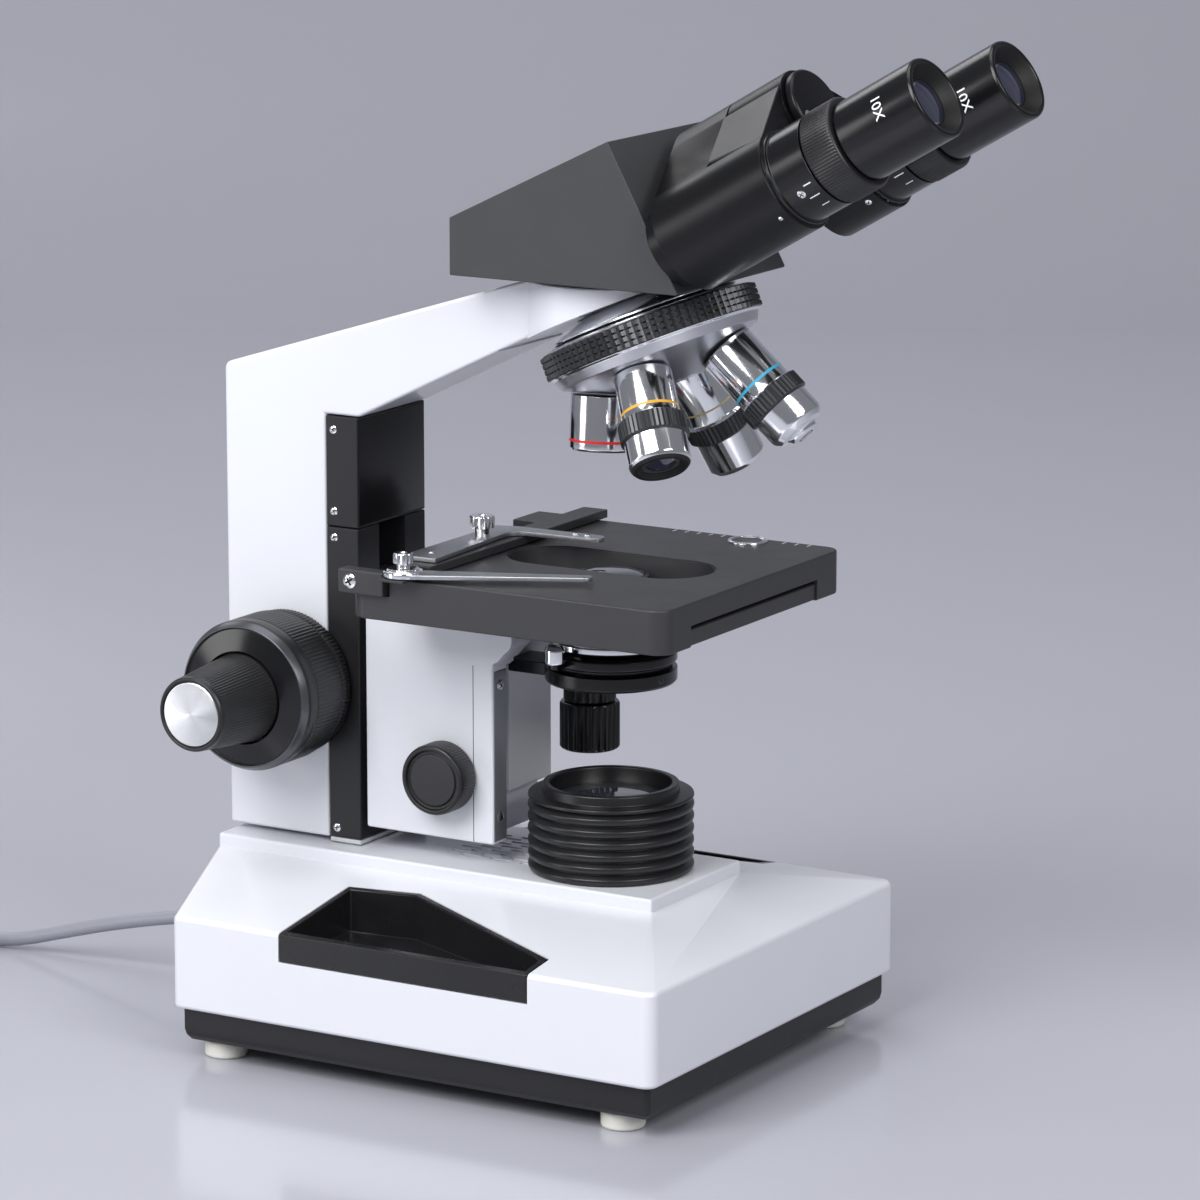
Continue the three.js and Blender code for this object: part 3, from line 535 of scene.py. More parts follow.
def make_arm():
    side = [(148.2, 70.5), *arc(145.2, 238, 3, 0, 73, 5), (21, 280), (0, 280), (0, 262), (20, 260),
            (91, 225.3), (105.1, 225.3), (105.1, 70.5)]
    arm = plate("arm_casting", side, -22, 22, ALONG_X, (ENAMEL,), 1.3, 4)
    fuse(arm, lathe("nose", [(0, 250), (30, 250), (30, 280), (0, 280)], materials=(ENAMEL,), facets=128,
                    round_by=0.8))
    boss = lathe("boss", [(0, 20), (24, 20), (24, 28.6), (0, 28.6)], FOCUS["right"], (ENAMEL,),
                 round_by=0.8)
    cut(boss, block("trim", (0, 22.3), (80, 105.1), (80, 170), bevel=0))
    fuse(arm, boss)
    cut(arm, block("below_turret", (-60, 60), (-48, 48), (-120, -28), NOSE, bevel=0))
    cut(arm, lathe("light_bore", [(0, 240), (12, 240), (12, 290), (0, 290)], round_by=0))
    cut(arm, block("rack_well", (-9, 9), (100, 128), (78, 200), bevel=0))
    cut(arm, lathe("shaft_bore", [(0, -40), (6.6, -40), (6.6, 40), (0, 40)], FOCUS["left"], round_by=0))
    stand_for(even_normals(arm), "arm")

    lower = block("lower_guide_cover", (-22, 22), (91.4, 104.8), (71, 184.8), materials=(BLACK_PAINT,),
                  bevel=0.5)
    cut(lower, block("slot", (-8.5, 8.5), (85, 110), (78, 190), bevel=0))
    stand_for(even_normals(lower), "guide_cover_lower")
    upper = block("upper_guide_cover", (-22, 22), (91.4, 104.8), (185.1, 225), materials=(BLACK_PAINT,),
                  bevel=0.5)
    stand_for(even_normals(upper), "guide_cover_upper")
    front = block("upper_guide_face", (-21.2, 21.2), (91.15, 92), (186, 224.2), materials=(GLOSS_BLACK,),
                  bevel=0.1)
    extra(front, "guide_cover_upper")
    foot = block("cover_foot", (-22, 22), (91.6, 104.6), (69.2, 70.8), materials=(SLIDE_GREY,), bevel=0.3)
    extra(foot, "guide_cover_lower")
    heads = []
    for way in (-1, 1):
        for z in (220, 190.5, 181, 74.5):
            place = spot(22 * way, 101.6, z, 90 * way, "Y")
            heads.append(screw(place, 1.5, 0.5, 20 + z))
    extra(join("guide_screws", heads), "arm")


def make_focus_knobs():
    ring = [(8, 22.4), (25.4, 22.4), (26.1, 23.0, 0.3), (26.5, 23.6, 0.3), (26.5, 27.9, 0.3),
            (26.1, 28.5, 0.3), (25.6, 29), (8, 29)]
    stand_for(lathe("tension_collar", ring, FOCUS["left"], (MOULDED,), teeth=110, round_by=0.3),
              "tension_ring")
    for side, place in FOCUS.items():
        coarse = [(5.3, 29.3), (26.3, 29.3), (27.0, 29.9), (27.3, 30.6, 0.32), (27.3, 44.6, 0.32),
                  (27.0, 45.2), (27.0, 46.4), (27.3, 46.8), (27.3, 50.2), (26.9, 51.0, 0, 1),
                  (25.5, 53.4, 0, 1), (25.0, 53.4), (24.7, 52.4, 0, 2), (16.8, 55.0, 0, 2), (16.7, 54.0),
                  (16.6, 50.6), (5.3, 50.6)]
        knob = lathe(f"coarse_wheel_{side}", coarse, place, (MOULDED, RIM_METAL, CONE_BLACK), teeth=120,
                     round_by=0.35)
        stand_for(knob, f"coarse_knob_{side}")
        fine = [(0, 80.4), (3.3, 80.4), (3.3, 51), (15.6, 51), (16, 51.6), (16, 55.5, 0.0),
                (15.9, 56, 0.28), (13.6, 82.2, 0.28), (13.5, 83.4), (13.4, 84.6), (12.8, 85.5),
                (12.0, 85.4), (11.8, 84.6), (0, 84.6)]
        stand_for(lathe(f"fine_wheel_{side}", fine, place, (MOULDED,), teeth=84, round_by=0.3),
                  f"fine_knob_{side}")
        cap = lathe(f"fine_cap_{side}", [(0, 84.5), (11.6, 84.5), (11.6, 84.9), (11.2, 85.2), (0, 85.2)],
                    place, (SPUN,), 96, round_by=0.1)
        extra(cap, f"fine_knob_{side}")


def make_carrier():
    block_form = block("carrier_block", (-22, 22), (35.4, 88.9), (76.5, 163.4), materials=(ENAMEL,),
                       bevel=0.9)
    cut(block_form, block("slide_recess", (-8, 30), (20, 44), (60, 170), bevel=0))
    cut(block_form, block("gib_groove", (-13, -7), (20, 40), (60, 141), bevel=0))
    gusset = [(36.4, 140), (35.4, 142.4), (33.4, 143.4), *arc(33.0, 151.5, 5.4, 240, 180, 5), (27.6, 163.4),
              (36.4, 163.4)]
    fuse(block_form, plate("gusset", gusset, -22, -8, ALONG_X, bevel=0.3))
    # A thin seam whose walls take the near-black material: painted shade in the seam.
    cut(block_form, block("gib_seam", (-22.5, -21.7), (43.4, 43.7), (60, 141), bevel=0, materials=(TIPS_AND_RECESS_SHADE,)))
    bore = lathe("bore", [(0, -30), (3.4, -30), (3.4, 30), (0, 30)], CONDENSER_KNOB, facets=48, round_by=0)
    cut(block_form, bore)
    stand_for(even_normals(block_form), "stage_carrier")
    strip = block("gib_strip", (-21.4, -13.3), (35.1, 36), (77.6, 139.4), materials=(GIB_GREY,), bevel=0.2)
    extra(strip, "stage_carrier")
    heads = [screw(spot(-17.5, 35.2, z, 90), 2.0, 0.7, 50, SATIN_STEEL) for z in (134, 86)]
    extra(join("gib_screws", heads), "stage_carrier")

    knob = [(0, -20), (3, -20), (3, 22.4), (12.0, 22.4), (12.6, 23.0, 0.22), (12.8, 23.6, 0.22),
            (12.8, 31.2, 0.22), (12.4, 32.2), (11.9, 32.6), (10.9, 32.6), (10.5, 31.2), (9.5, 31.2, 0, 1),
            (9.2, 31.9, 0, 1), (0, 31.9, 0, 1)]
    stand_for(lathe("condenser_wheel", knob, CONDENSER_KNOB, (MOULDED, PAD_GREY), teeth=72, round_by=0.25),
              "condenser_knob")


# ---- stage ----
def make_stage():
    lower = block("stage_lower_plate", (-44.6, 43.6), (-57.6, 67.7), (163.7, 169.4),
                  materials=(STAGE_PAINT,))
    cut(lower, lathe("hole", [(0, 150), (19, 150), (19, 190), (0, 190)], round_by=0))
    stand_for(even_normals(lower), "stage_base")

    upper = plate("stage_upper_plate", rounded_rectangle(-63, 63, -58.3, 68.7, 6.5), 163.4, 179,
                  materials=(STAGE_PAINT,), bevel=0.7)
    cut(upper, block("channel", (-45, 44), (-80, 90), (150, 171), bevel=0))
    cut(upper, block("ledge", (-80, 80), (51.6, 90), (172.2, 190), bevel=0))
    aperture = arc(0, 23.5, 16, 0, 180, 24) + arc(0, -23.5, 16, 180, 360, 24)
    cut(upper, plate("aperture", aperture, 150, 190, bevel=0))
    rim = arc(0, 23.5, 16.6, 0, 180, 24) + arc(0, -23.5, 16.6, 180, 360, 24)
    cut(upper, plate("aperture_rim", rim, 178.5, 190, bevel=0))
    stand_for(even_normals(upper), "stage_top")
    marks = [block("mark", (58.5, 61.5), (y - 0.15, y + 0.15), (178.98, 179.06), materials=(WHITE_INK,),
                   bevel=0)
             for y in range(-46, 12, 5) if abs(y + 23.6) > 8]
    extra(join("stage_scale", marks), "stage_top")
    disc = [(0, 176.5), (7.2, 176.5), (7.2, 179.5), (6.9, 179.9), (6.2, 179.9), (6.0, 179.5, 0, 1),
            (0, 179.5, 0, 1)]
    extra(lathe("edge_disc", disc, spot(55.5, -23.6, 0), (CHROME, DARK_METAL), 64, round_by=0.15),
          "stage_top")

    rail = block("rail_bar", (-60, 62), (52.6, 60.5), (172.5, 179), materials=(STAGE_PAINT,), bevel=0.4)
    fuse(rail, block("rail_end", (-66, -59.9), (52.6, 71), (172.5, 181), materials=(STAGE_PAINT,),
                     bevel=0.6))
    stand_for(even_normals(rail), "x_rail")
    extra(screw(spot(-66, 66, 177, -90, "Y"), 2.6, 0.9, name="rail_screw"), "x_rail")


def make_slide_holder():
    bar = block("carriage_bar", (-54, 66.5), (41, 51.2), (179.3, 182.4), materials=(STAGE_PAINT,),
                bevel=0.4)
    fuse(bar, block("carriage_tongue", (-71, -53), (41, 51.2), (179.3, 180.3), materials=(STAGE_PAINT,),
                    bevel=0.2))
    fuse(bar, block("carriage_foot", (33, 51), (50, 61), (179.3, 182.4), materials=(STAGE_PAINT,),
                    bevel=0.4))
    stand_for(even_normals(bar), "x_carriage")
    outline = [(-48.5, 42), (2, 45.2), *arc(2.2, 39.2, 6, 88, 5, 5), (9.4, 14.6),
               *arc(13, 14.5, 3.5, 180, 355, 8), (15.4, 48), (13, 55.5), (-48.5, 55.5)]
    holder = plate("holder_plate", outline, 182.7, 184.2, materials=(BRUSHED,), bevel=0.2)
    stand_for(holder, "slide_holder")
    screw_rows = [(0, 184.2), (2.6, 184.2), (2.6, 187.2), (4.5, 187.4, 0.45), (4.5, 191.2, 0.45),
                  (4.0, 191.7), (1.5, 191.7), (1.2, 191), (0, 191)]
    extra(lathe("thumb_screw_right", screw_rows, spot(-6, 49.5, 0), (CHROME,), teeth=16, round_by=0.15),
          "slide_holder")
    heads = [screw(spot(x, y, 184.2), 1.3, 0.6, turn)
             for x, y, turn in ((12.6, 17, 20), (12.8, 22, 70), (-40, 49, 40))]
    extra(join("holder_screws", heads), "slide_holder")

    pivot = spot(-64, 45.2, 0)
    outline = [(-69, 41), (-41.8, -12.6), *arc(-38.8, -12.3, 3.0, 190, 340, 6), (-59, 42)]
    stand_for(plate("finger_bar", outline, 180.6, 182.1, materials=(BRUSHED,), bevel=0.2), "spring_finger")
    disc = lathe("finger_disc", [(0, 180.7), (7, 180.7), (7, 182.2), (6.7, 182.7), (5.8, 182.9),
                                 (5.4, 183.5), (0, 183.6)], pivot, (CHROME,), 72, round_by=0.25)
    extra(disc, "spring_finger")
    screw_rows = [(0, 183.5), (2.2, 183.5), (2.2, 185.2), (3.5, 185.3, 0.4), (3.5, 188.4, 0.4),
                  (3.0, 188.9), (1.2, 188.9), (1.0, 188.4), (0, 188.4)]
    extra(lathe("thumb_screw_left", screw_rows, pivot, (CHROME,), teeth=14, round_by=0.15),
          "spring_finger")


def make_stage_drive():
    place = spot(47, 37, 0)
    post = [(0, 104), (2.5, 104), (2.5, 135.4), (6, 135.4), (6, 163.1), (0, 163.1)]
    stand_for(lathe("drive_post", post, place, (GLOSS_BLACK,), 48, round_by=0.2), "stage_drive_post")
    upper = [(2.9, 116), (9.2, 116), (9.6, 116.5, 0.7), (9.6, 133.8, 0.7), (9.0, 134.8), (8.4, 135),
             (2.9, 135)]
    stand_for(lathe("stage_y_wheel", upper, place, (GLOSS_BLACK,), teeth=24, round_by=0.2), "stage_knob_y")
    lower = [(0, 98), (10.0, 98), (10.6, 98.4, 0.0), (11, 99, 0.7), (11, 114.6, 0.7), (10.4, 115.6),
             (2.9, 115.6), (2.9, 103.6), (0, 103.6)]
    stand_for(lathe("stage_x_wheel", lower, place, (GLOSS_BLACK,), teeth=28, round_by=0.2), "stage_knob_x")


def make_condenser():
    ring = lathe("carrier_ring", [(18.5, 136.7), (22.6, 136.7), (23.4, 137.6), (23.4, 142), (18.5, 142)],
                 materials=(GLOSS_BLACK,), facets=128)
    bracket = block("bracket", (-7.7, 7.7), (20.5, 38), (137, 141.6), materials=(GLOSS_BLACK,), bevel=0.4)
    cut(bracket, lathe("bore", [(0, 130), (18.6, 130), (18.6, 145), (0, 145)], round_by=0))
    slide = block("slide", (-7.7, 20.8), (37.4, 43.7), (93, 162), materials=(SLIDE_GREY,), bevel=0.5)
    fuse(slide, bracket)
    fuse(slide, ring)
    stand_for(even_normals(slide), "condenser_carrier")
    body = [(12, 136.2), (17.6, 136.2), (18.2, 136.8), (18.2, 149.4), (21.3, 149.6), (21.5, 150, 0, 1),
            (21.5, 152, 0, 1), (20.8, 152.4, 0, 1), (14.6, 154.6), (14, 155.4), (14, 174.4), (13.5, 175),
            (12, 175)]
    stand_for(lathe("condenser_barrel", body, WORLD, (GLOSS_BLACK, CHROME), 96, round_by=0.2),
              "condenser_body")
    lens = [(0, 168), (11.7, 168), (11.7, 174.9), (9.5, 175.8), (6, 176.4), (0, 176.6)]
    stand_for(lathe("condenser_glass", lens, WORLD, (LENS_CLEAR,), 72, round_by=0.1, angle=60),
              "condenser_lens")
    iris = lathe("iris_collar", [(18.5, 142.6), (21.8, 142.6), (22.2, 144.2), (23.0, 144.3), (23.4, 144.8),
                                 (23.4, 147.5), (23.0, 148), (18.5, 148)], materials=(GLOSS_BLACK,),
                 facets=128)
    fuse(iris, block("lever", (-29, -20), (4.6, 7.4), (145, 147.2), materials=(GLOSS_BLACK,), bevel=0.3))
    stand_for(iris, "iris_ring")
    knob = [(0, 147), (2.9, 147), (3.4, 147.6), (3.4, 152), (2.6, 153.6), (1.2, 154), (0, 154)]
    extra(lathe("iris_knob", knob, spot(-28, 6, 0), (CHROME,), 40, round_by=0.3), "iris_ring")
    heads = [screw(Matrix.Rotation(math.radians(turn), 4, "Z") @ spot(23.2, 0, 139.8, 90, "Y"), 1.3, 0.4,
                   turn, DARK_METAL) for turn in (-101, 20, 140)]
    extra(join("condenser_screws", heads), "condenser_body")


# ---- nosepiece ----
def make_nosepiece():
    mount = [(12, -34.2), (33.4, -34.2), (33.5, -33.6), (30, -32.1), (27, -31), (20.5, -28.4), (12, -28.4)]
    stand_for(lathe("turret_seat", mount, NOSE, (TURNED_CHROME,), 128, round_by=0.2), "nosepiece_mount")
    rows = [(0, -34.6), (33.6, -34.6, 0, 2), (37.0, -35.8, 0, 2), (38.4, -36.2, 0, 1)]
    bands = 4
    top, bottom = -36.4, -44.8
    for i in range(bands):
        z0 = top + (bottom - top) * i / bands
        z1 = top + (bottom - top) * (i + 1) / bands
        edge = (z1 - z0) * 0.16
        rows += [(38.5, z0, 0.0, 1), (39.5, z0 + edge, 1.0, 1), (39.5, z1 - edge, 1.0, 1)]
    rows += [(38.5, bottom, 0, 2), (38.3, -45.2, 0, 2), (37.6, -45.7, 0, 0), (36.0, -49.2), (12, -59.6),
             (0, -59.6)]
    turret = lathe("turret_drum", rows, NOSE, (SATIN_DISH, DARK_METAL, CHROME), teeth=84, round_by=0.25)
    stand_for(turret, "turret")


def objective(name, node, place_number, rows, band):
    turn = Matrix.Rotation(math.radians(TURRET_REST + 90 * place_number), 4, "Z")
    lean = Matrix.Rotation(math.radians(180 - TURRET_TILT), 4, "Y")
    # Material 3 colours the front ends near-black, and the lens wells near-black as painted shade.
    barrel = lathe(name, rows, NOSE @ turn @ lean, (CHROME, DARK_METAL, band, TIPS_AND_RECESS_SHADE, LENS), teeth=44,
                   round_by=0.25)
    stand_for(barrel, node)


def make_objectives():
    start = [(0, 59.8), (10.2, 59.8)]
    objective("objective_red", "objective_4x", 1,
              [(0, 59.8), (12, 59.8), (12, 75.2, 0, 2), (12, 76.2), (12, 78.4), (11.4, 79.2, 0, 3),
               (7.5, 79.2, 0, 3), (6.8, 77, 0, 4), (3.4, 77.8, 0, 4), (0, 78)], RED_RING)
    objective("objective_yellow", "objective_10x", 2,
              start + [(10.2, 73.6, 0, 2), (10.2, 74.6), (10.4, 76.8), (12, 77.4, 0.35, 1),
                       (12, 83.8, 0.35, 1), (10.9, 84.4), (10.9, 92.8), (10.3, 94, 0, 3), (9.4, 95, 0, 3),
                       (8, 95, 0, 3), (7, 93.2), (5.2, 93.0, 0, 4), (2.6, 94.4, 0, 4), (0, 94.8)],
              YELLOW_RING)
    objective("objective_blue", "objective_40x", 3,
              start + [(10.2, 76.4, 0, 2), (10.2, 77.4), (10.4, 80.8), (12, 81.4, 0.35, 1),
                       (12, 87.2, 0.35, 1), (10.8, 87.8), (10.8, 95.4), (10.4, 96.6), (8.6, 98.4),
                       (6.4, 98.8), (5.6, 99.4), (5.2, 100.4), (3.4, 101.1, 0, 3), (2.6, 101.1, 0, 4),
                       (1.2, 101.4, 0, 4), (0, 101.4)], BLUE_RING)
    objective("objective_pale", "objective_100x", 0,
              start + [(10.2, 74.4, 0, 2), (10.2, 75.1), (10.4, 79.2), (12, 79.9, 0.35, 1),
                       (12, 86, 0.35, 1), (10.8, 86.6), (10.8, 98.2), (9.8, 99.9, 0, 3), (7.2, 100, 0, 3),
                       (3, 99.4, 0, 4), (0, 99.8)],
              PALE_RING)


# ---- head ----
def wrap(piece, radius, frame_matrix):
    """Bends a flat mark, drawn in X (round the tube) and Z (along it), onto a cylinder about the frame's Z."""
    for vertex in piece.data.vertices:
        x, y, z = vertex.co
        turn = x / radius
        r = radius + y
        vertex.co = Vector((r * math.sin(turn), -r * math.cos(turn), z))
    piece.data.transform(Matrix.Scale(MM, 4) @ frame_matrix)


def lettering(name, text, size, radius, along, frame_matrix, node):
    curve = bpy.data.curves.new(name, "FONT")
    curve.body = text
    curve.size = size
    curve.align_x = "CENTER"
    curve.align_y = "CENTER"
    curve.offset = 0.03
    curve.extrude = 0.06
    writing = bpy.data.objects.new(name, curve)
    bpy.context.scene.collection.objects.link(writing)
    bpy.context.view_layer.update()
    mesh = bpy.data.meshes.new_from_object(writing.evaluated_get(bpy.context.evaluated_depsgraph_get()))
    bpy.data.objects.remove(writing)
    bm = bmesh.new()
    bm.from_mesh(mesh)
    bmesh.ops.triangulate(bm, faces=bm.faces)
    for _ in range(2):
        bmesh.ops.subdivide_edges(bm, edges=[e for e in bm.edges if e.calc_length() > 0.6], cuts=1)
    upright = Matrix(((1, 0, 0, 0), (0, 0, 1, 0), (0, 1, 0, 0), (0, 0, 0, 1)))
    bm.transform(Matrix.Translation((0, 0, along)) @ upright)
    bmesh.ops.recalc_face_normals(bm, faces=bm.faces)
    bm.to_mesh(mesh)
    bm.free()
    mesh.materials.append(WHITE_INK)
    made = bpy.data.objects.new(name, mesh)
    bpy.context.scene.collection.objects.link(made)
    wrap(made, radius, frame_matrix)
    extra(made, node)


def make_head_box():
    stand_for(lathe("head_seat", [(14, 280.3), (28.5, 280.3), (28.5, 281.7), (14, 281.7)],
                    materials=(CHROME,), facets=128, round_by=0.3), "seat_ring")
    side = [(42.6, 282), (42.6, 302), (-20.6, 332.4), (-48.1, 282.6), (-47.6, 282)]
    head = plate("prism_box", side, -37.5, 37.5, ALONG_X, (HEAD_PAINT,), 0.5)
    cut(head, lathe("light_bore", [(0, 270), (14, 270), (14, 290), (0, 290)], round_by=0))
    hollow = [(38.6, 286), (38.6, 299.4), (-18.9, 327.2), (-42.4, 286)]
    cut(head, plate("hollow", hollow, -33.5, 33.5, ALONG_X, bevel=0))
    stand_for(even_normals(head), "head_body")
    pin = [(0, 1.2), (9, 1.2), (9, 7.7), (4, 7.7), (4, 56.4), (13.2, 56.4), (13.6, 56.9), (13.6, 59.2),
           (12.8, 60), (0, 60)]
    place = TUBES @ spot(0, HINGE_UP, 0)
    stand_for(lathe("hinge_pin_and_cap", pin, place, (TUBE_PAINT,), 96, round_by=0.3), "hinge_pin")
    extra(screw(TUBES @ spot(-9.5, 19.5, 60), 1.4, 0.5, 20, name="hinge_screw"), "hinge_pin")


def make_tube(side, way):
    x = way * EYE_HALF_SPACING
    near, far = (HOUSING_START, 32) if way < 0 else (32.4, HOUSING_END)
    here = TUBES @ spot(x, 0, 0)
    hinge = TUBES @ spot(0, HINGE_UP, 0)
    barrel = lathe(f"eye_housing_{side}",
                   [(0, 1.6), (14, 1.6), (14, HOUSING_START), (HOUSING_RADIUS, HOUSING_START),
                    (HOUSING_RADIUS, HOUSING_END), (0, HOUSING_END)], here, (TUBE_PAINT,), 128, round_by=0.6)
    ring = arc(x, 0, HOUSING_RADIUS - 0.15, 0, 355, 71) + arc(0, HINGE_UP, 15, 0, 352, 44)
    reach = math.hypot(x, HINGE_UP)
    to_eye = Vector((x, -HINGE_UP)) / reach
    inner = Vector((-HINGE_UP * way, -abs(x))) / reach
    corners = [Vector((0, HINGE_UP)) + to_eye * a + inner * b
               for a, b in ((-40, 0), (80, 0), (80, 60), (-40, 60))]
    web = hull("web", at_height(ring, HOUSING_START) + at_height(ring, HOUSING_END), TUBES, (TUBE_PAINT,),
               0.5, 2)
    cut(web, plate("inner_half", corners, 0, 70, TUBES, bevel=0))
    cut(web, lathe("hinge_room", [(0, 0), (15.7, 0), (15.7, 70), (0, 70)], hinge, round_by=0))
    fuse(barrel, web)
    knuckle = hull("knuckle", at_height(ring, near) + at_height(ring, far), TUBES, (TUBE_PAINT,), 0.5, 2)
    inward = math.radians(-11 * way)
    other = Matrix.Rotation(inward, 2) @ Vector((-x, -HINGE_UP)) + Vector((0, HINGE_UP))
    clear = lathe("clear_other", [(0, -5), (HOUSING_RADIUS + 0.6, -5), (HOUSING_RADIUS + 0.6, 80), (0, 80)],
                  TUBES @ spot(other.x, other.y, 0), round_by=0)
    cut(clear, lathe("keep_hinge", [(0, -6), (15, -6), (15, 90), (0, 90)], hinge, round_by=0))
    cut(knuckle, clear)
    fuse(barrel, knuckle)
    collar = [(0, 55), (17.4, 55), (17.4, 57.4), (16.5, 57.6), (16.5, 71), (13.4, 71), (13.4, 83.6),
              (0, 83.6)]
    fuse(barrel, lathe("collar", collar, here, (GLOSS_BLACK,), 96, round_by=0.25))
    cut(barrel, lathe("tube_bore", [(0, 40), (11.9, 40), (11.9, 90), (0, 90)], here, round_by=0))
    cut(barrel, lathe("pin_bore", [(0, -5), (4.3, -5), (4.3, 70), (0, 70)], hinge, facets=48, round_by=0))
    stand_for(even_normals(barrel), f"tube_housing_{side}")

    ring = [(13.7, 71.3), (16.0, 71.3), (16.6, 71.9, 0.25), (16.8, 72.4, 0.25), (16.8, 82.8, 0.25),
            (16.3, 83.5), (15.8, 83.9), (13.7, 83.9)]
    stand_for(lathe(f"diopter_collar_{side}", ring, here, (MOULDED,), teeth=96, round_by=0.25),
              f"diopter_ring_{side}")
    eye = [(0, 60), (11.5, 60), (11.5, 84.2), (14.1, 84.2), (14.5, 84.8), (14.5, RIM - 1.2),
           (14.1, RIM - 0.3), (13.4, RIM), (12.6, RIM - 0.2, 0, 3), (11.0, RIM - 2.2, 0, 3),
           (8.6, RIM - 4.2), (8.2, RIM - 4.2, 0, 2), (7.8, RIM - 4.0, 0, 2), (7.6, RIM - 3.9, 0, 1),
           (4, RIM - 3.1, 0, 1), (0, RIM - 2.8, 0, 1)]
    stand_for(lathe(f"eyepiece_barrel_{side}", eye, here, (GLOSS_BLACK, LENS, TURNED_CHROME, HOOD), 128,
                    round_by=0.25), f"eyepiece_{side}")
    places = {"left": [(-62, 63.5, 16.4, 1.5), (-52, 52.5, 18.4, 0.8)],
              "right": [(-45, 52, 18.4, 1.2), (-50, 13, 18.4, 1.0)]}
    heads = [screw(here @ Matrix.Rotation(math.radians(turn - 90), 4, "Z") @ spot(r, 0, z, 90, "Y"), size,
                   0.5, turn)
             for turn, z, r, size in places[side]]
    extra(join(f"housing_screws_{side}", heads), f"tube_housing_{side}")


def make_head():
    make_head_box()
    for side, way in (("left", -1), ("right", 1)):
        make_tube(side, way)
        facing = TUBES @ spot(way * EYE_HALF_SPACING, 0, 0, -110 if way < 0 else -95, "Z")
        under = TUBES @ spot(way * EYE_HALF_SPACING, 0, 0, -52, "Z")
        lettering(f"magnification_{side}", "10X", 5.2, 14.5, 102, facing, f"eyepiece_{side}")
        ticks = []
        for i in range(-1, 2):
            tick = block("tick", (i * 5 - 0.2, i * 5 + 0.2), (-0.04, 0.05),
                         (66.0 if i else 65.0, 69.0), materials=(WHITE_INK,), bevel=0)
            tick.data.transform(Matrix.Scale(1 / MM, 4))
            wrap(tick, 16.5, under)
            ticks.append(tick)
        extra(join(f"diopter_scale_{side}", ticks), f"tube_housing_{side}")


# ---- cord ----
CORD_ROUTE = [(0, 175.1, 25), (0, 181, 24.6), (0, 187, 23.8), (0, 193, 22.6), (0, 200, 21.1),
              (0, 207, 19.5), (0, 214, 17.8), (0, 221, 16), (0, 228, 14.1), (0, 235, 12.1),
              (0, 242, 10.1), (0, 249, 8), (0, 256, 6), (0, 263, 4.4), (0, 270, 3.3), (0, 276, 2.8),
              (0, 281.5, 2.7)]
COIL_X, COIL_Y = -37.5, 302.0
CORD_DIAMETER = 5.0


TAIL_ROUTE = [(-0.3, 309, 6.8), (-2, 317, 5.6), (-5, 325, 4.2), (-10, 332, 3.1), (-17, 338, 2.7),
              (-26, 342, 2.6), (-36, 344.4, 2.6), (-46, 345.2, 2.6), (-58, 345, 2.6), (-69.5, 343.6, 2.8),
              (-78, 340, 3.4), (-84.5, 334, 4.2), (-88.5, 326, 5.2), (-89.5, 317, 6.4), (-89.5, 308, 7.6),
              (-89.5, 300, 8.6), (-89.5, 291, 9)]


def coil_points():
    """Four turns wound inwards on the floor, then four outwards on top of them."""
    points = []
    per_turn = 24
    for i in range(1, 8 * per_turn + 1):
        turn = i / per_turn
        angle = 2 * math.pi * turn
        radius = 37.5 - 5.0 * min(max(min(turn, 8 - turn) - 0.5, 0.0), 3.0)
        height = 2.6 + 4.8 * min(max((turn - 3.75) / 0.5, 0.0), 1.0)
        points.append((COIL_X + radius * math.cos(angle), COIL_Y + radius * math.sin(angle), height))
    return points


def make_tie():
    """A closed strap round the turns, on the side of the coil nearest the base."""
    near, far = COIL_Y - 40, COIL_Y - 20
    tie = plate("cord_tie", rounded_rectangle(near - 0.8, far + 0.8, 0.02, 10.7, 2.2), COIL_X - 3,
                COIL_X + 3, ALONG_X, (MOULDED,), 0)
    inside = rounded_rectangle(near, far, 0.1, 9.95, 1.7)
    cut(tie, plate("tie_room", inside, COIL_X - 4, COIL_X + 4, ALONG_X, bevel=0))
    extra(tie, "cord_coil")
    return tie


def make_cord():
    points = CORD_ROUTE + coil_points() + TAIL_ROUTE
    curve = bpy.data.curves.new("mains_cord", "CURVE")
    curve.dimensions = "3D"
    curve.bevel_depth = CORD_DIAMETER / 2 * MM
    curve.bevel_resolution = 5
    spline = curve.splines.new("POLY")
    spline.points.add(len(points) - 1)
    for point, place in zip(spline.points, points):
        point.co = (*[c * MM for c in place], 1)
    curve.use_fill_caps = True
    cord = bpy.data.objects.new("mains_cord", curve)
    bpy.context.scene.collection.objects.link(cord)
    curve.materials.append(CABLE)
    relief = [(0, 0.3), (6.5, 0.3), (6.5, 3)]
    for i in range(7):
        z = 4 + i * 3.0
        r = 4.7 - i * 0.18
        relief += [(r, z), (r, z + 1.8), (r - 0.6, z + 2.1), (r - 0.6, z + 2.8)]
    relief += [(3.4, 25.4), (3.2, 26), (0, 26)]
    boot = lathe("strain_relief", relief, spot(0, 148.4, 25, -90), (CABLE,), 48, round_by=0.2)
    plug = make_plug()
    tie = make_tie()
    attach(cord, "stand")
    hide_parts("cord_lead", "cord_coil")
    stand_for(boot, "cord_strain_relief")


def make_plug():
    x, back = COIL_X - 52, COIL_Y - 12
    body = plate("plug", rounded_rectangle(x - 10, x + 10, back - 28, back, 4), 0.1, 18,
                 materials=(MOULDED,), bevel=2.0, segments=4)
    for way in (-1, 1):
        fuse(body, block("prong", (x + 6.4 * way - 0.8, x + 6.4 * way + 0.8), (back - 44, back - 27),
                         (6, 12), materials=(CHROME,), bevel=0.3))
    stand_for(body, "mains_plug")
    return body


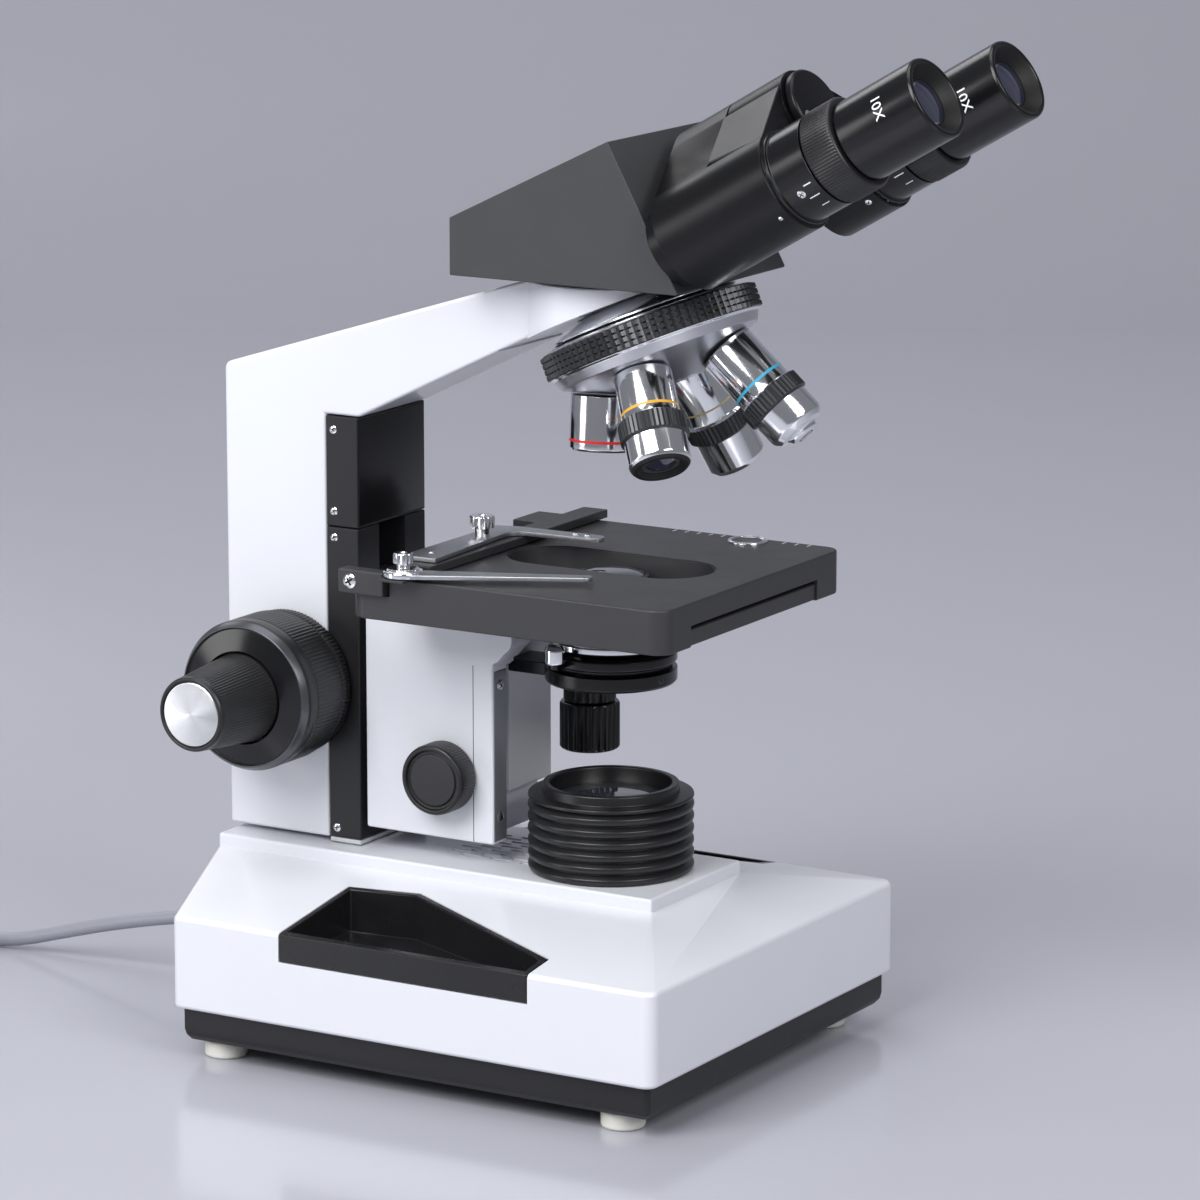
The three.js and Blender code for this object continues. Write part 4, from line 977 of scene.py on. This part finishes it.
# ---- floor, backdrop and light ----
def make_studio():
    sweep = bmesh.new()
    profile = [(-3.0, 0.0), (1.6, 0.0)] + [(1.6 + math.sin(math.radians(a)), 1 - math.cos(math.radians(a)))
                                         for a in range(6, 91, 6)] + [(2.6, 4.0)]
    lines = [[sweep.verts.new((x, y, z)) for x in (-4.0, 4.0)] for y, z in profile]
    for a, b in zip(lines, lines[1:]):
        sweep.faces.new([a[0], a[1], b[1], b[0]])
    floor = object_from(sweep, "studio_sweep",
                        Matrix.Rotation(math.radians(-59.1), 4, "Z") @ Matrix.Scale(1 / MM, 4), (STUDIO,),
                        60)
    lights = [("key", (-1.6, 0.2, 1.5), (1.3, 1.3), 43.0), ("front", (-0.9, -2.3, 1.7), (1.4, 1.4), 42.0),
              ("top", (0.1, 0.3, 2.1), (1.4, 1.4), 13.0), ("left_card", (-1.5, 1.5, 0.5), (0.7, 0.9), 7.0),
              ("back", (1.2, 1.9, 1.7), (1.0, 1.0), 8.0)]
    for name, where, size, watts in lights:
        data = bpy.data.lights.new(name, "AREA")
        data.shape = "RECTANGLE"
        data.size, data.size_y = size
        data.energy = watts
        light = bpy.data.objects.new(name, data)
        light.location = where
        aim = Vector((0, 0, 0.18)) - Vector(where)
        light.rotation_euler = aim.to_track_quat("-Z", "Y").to_euler()
        bpy.context.scene.collection.objects.link(light)
    world = bpy.data.worlds.new("studio")
    world.use_nodes = True
    world.node_tree.nodes["Background"].inputs["Color"].default_value = (0.62, 0.64, 0.70, 1)
    world.node_tree.nodes["Background"].inputs["Strength"].default_value = 0.33
    bpy.context.scene.world = world
    bpy.context.scene.view_settings.view_transform = "Standard"


STUDIO = surface("studio_grey", (0.44, 0.445, 0.50), 0.17, mottle=0.02, mottle_scale=3.0, wear=0.02,
                 coat=0.2)

make_camera()
make_cord()
make_base()
make_collector()
make_controls()
make_arm()
make_focus_knobs()
make_carrier()
make_stage()
make_slide_holder()
make_stage_drive()
make_condenser()
make_nosepiece()
make_objectives()
make_head()
make_studio()
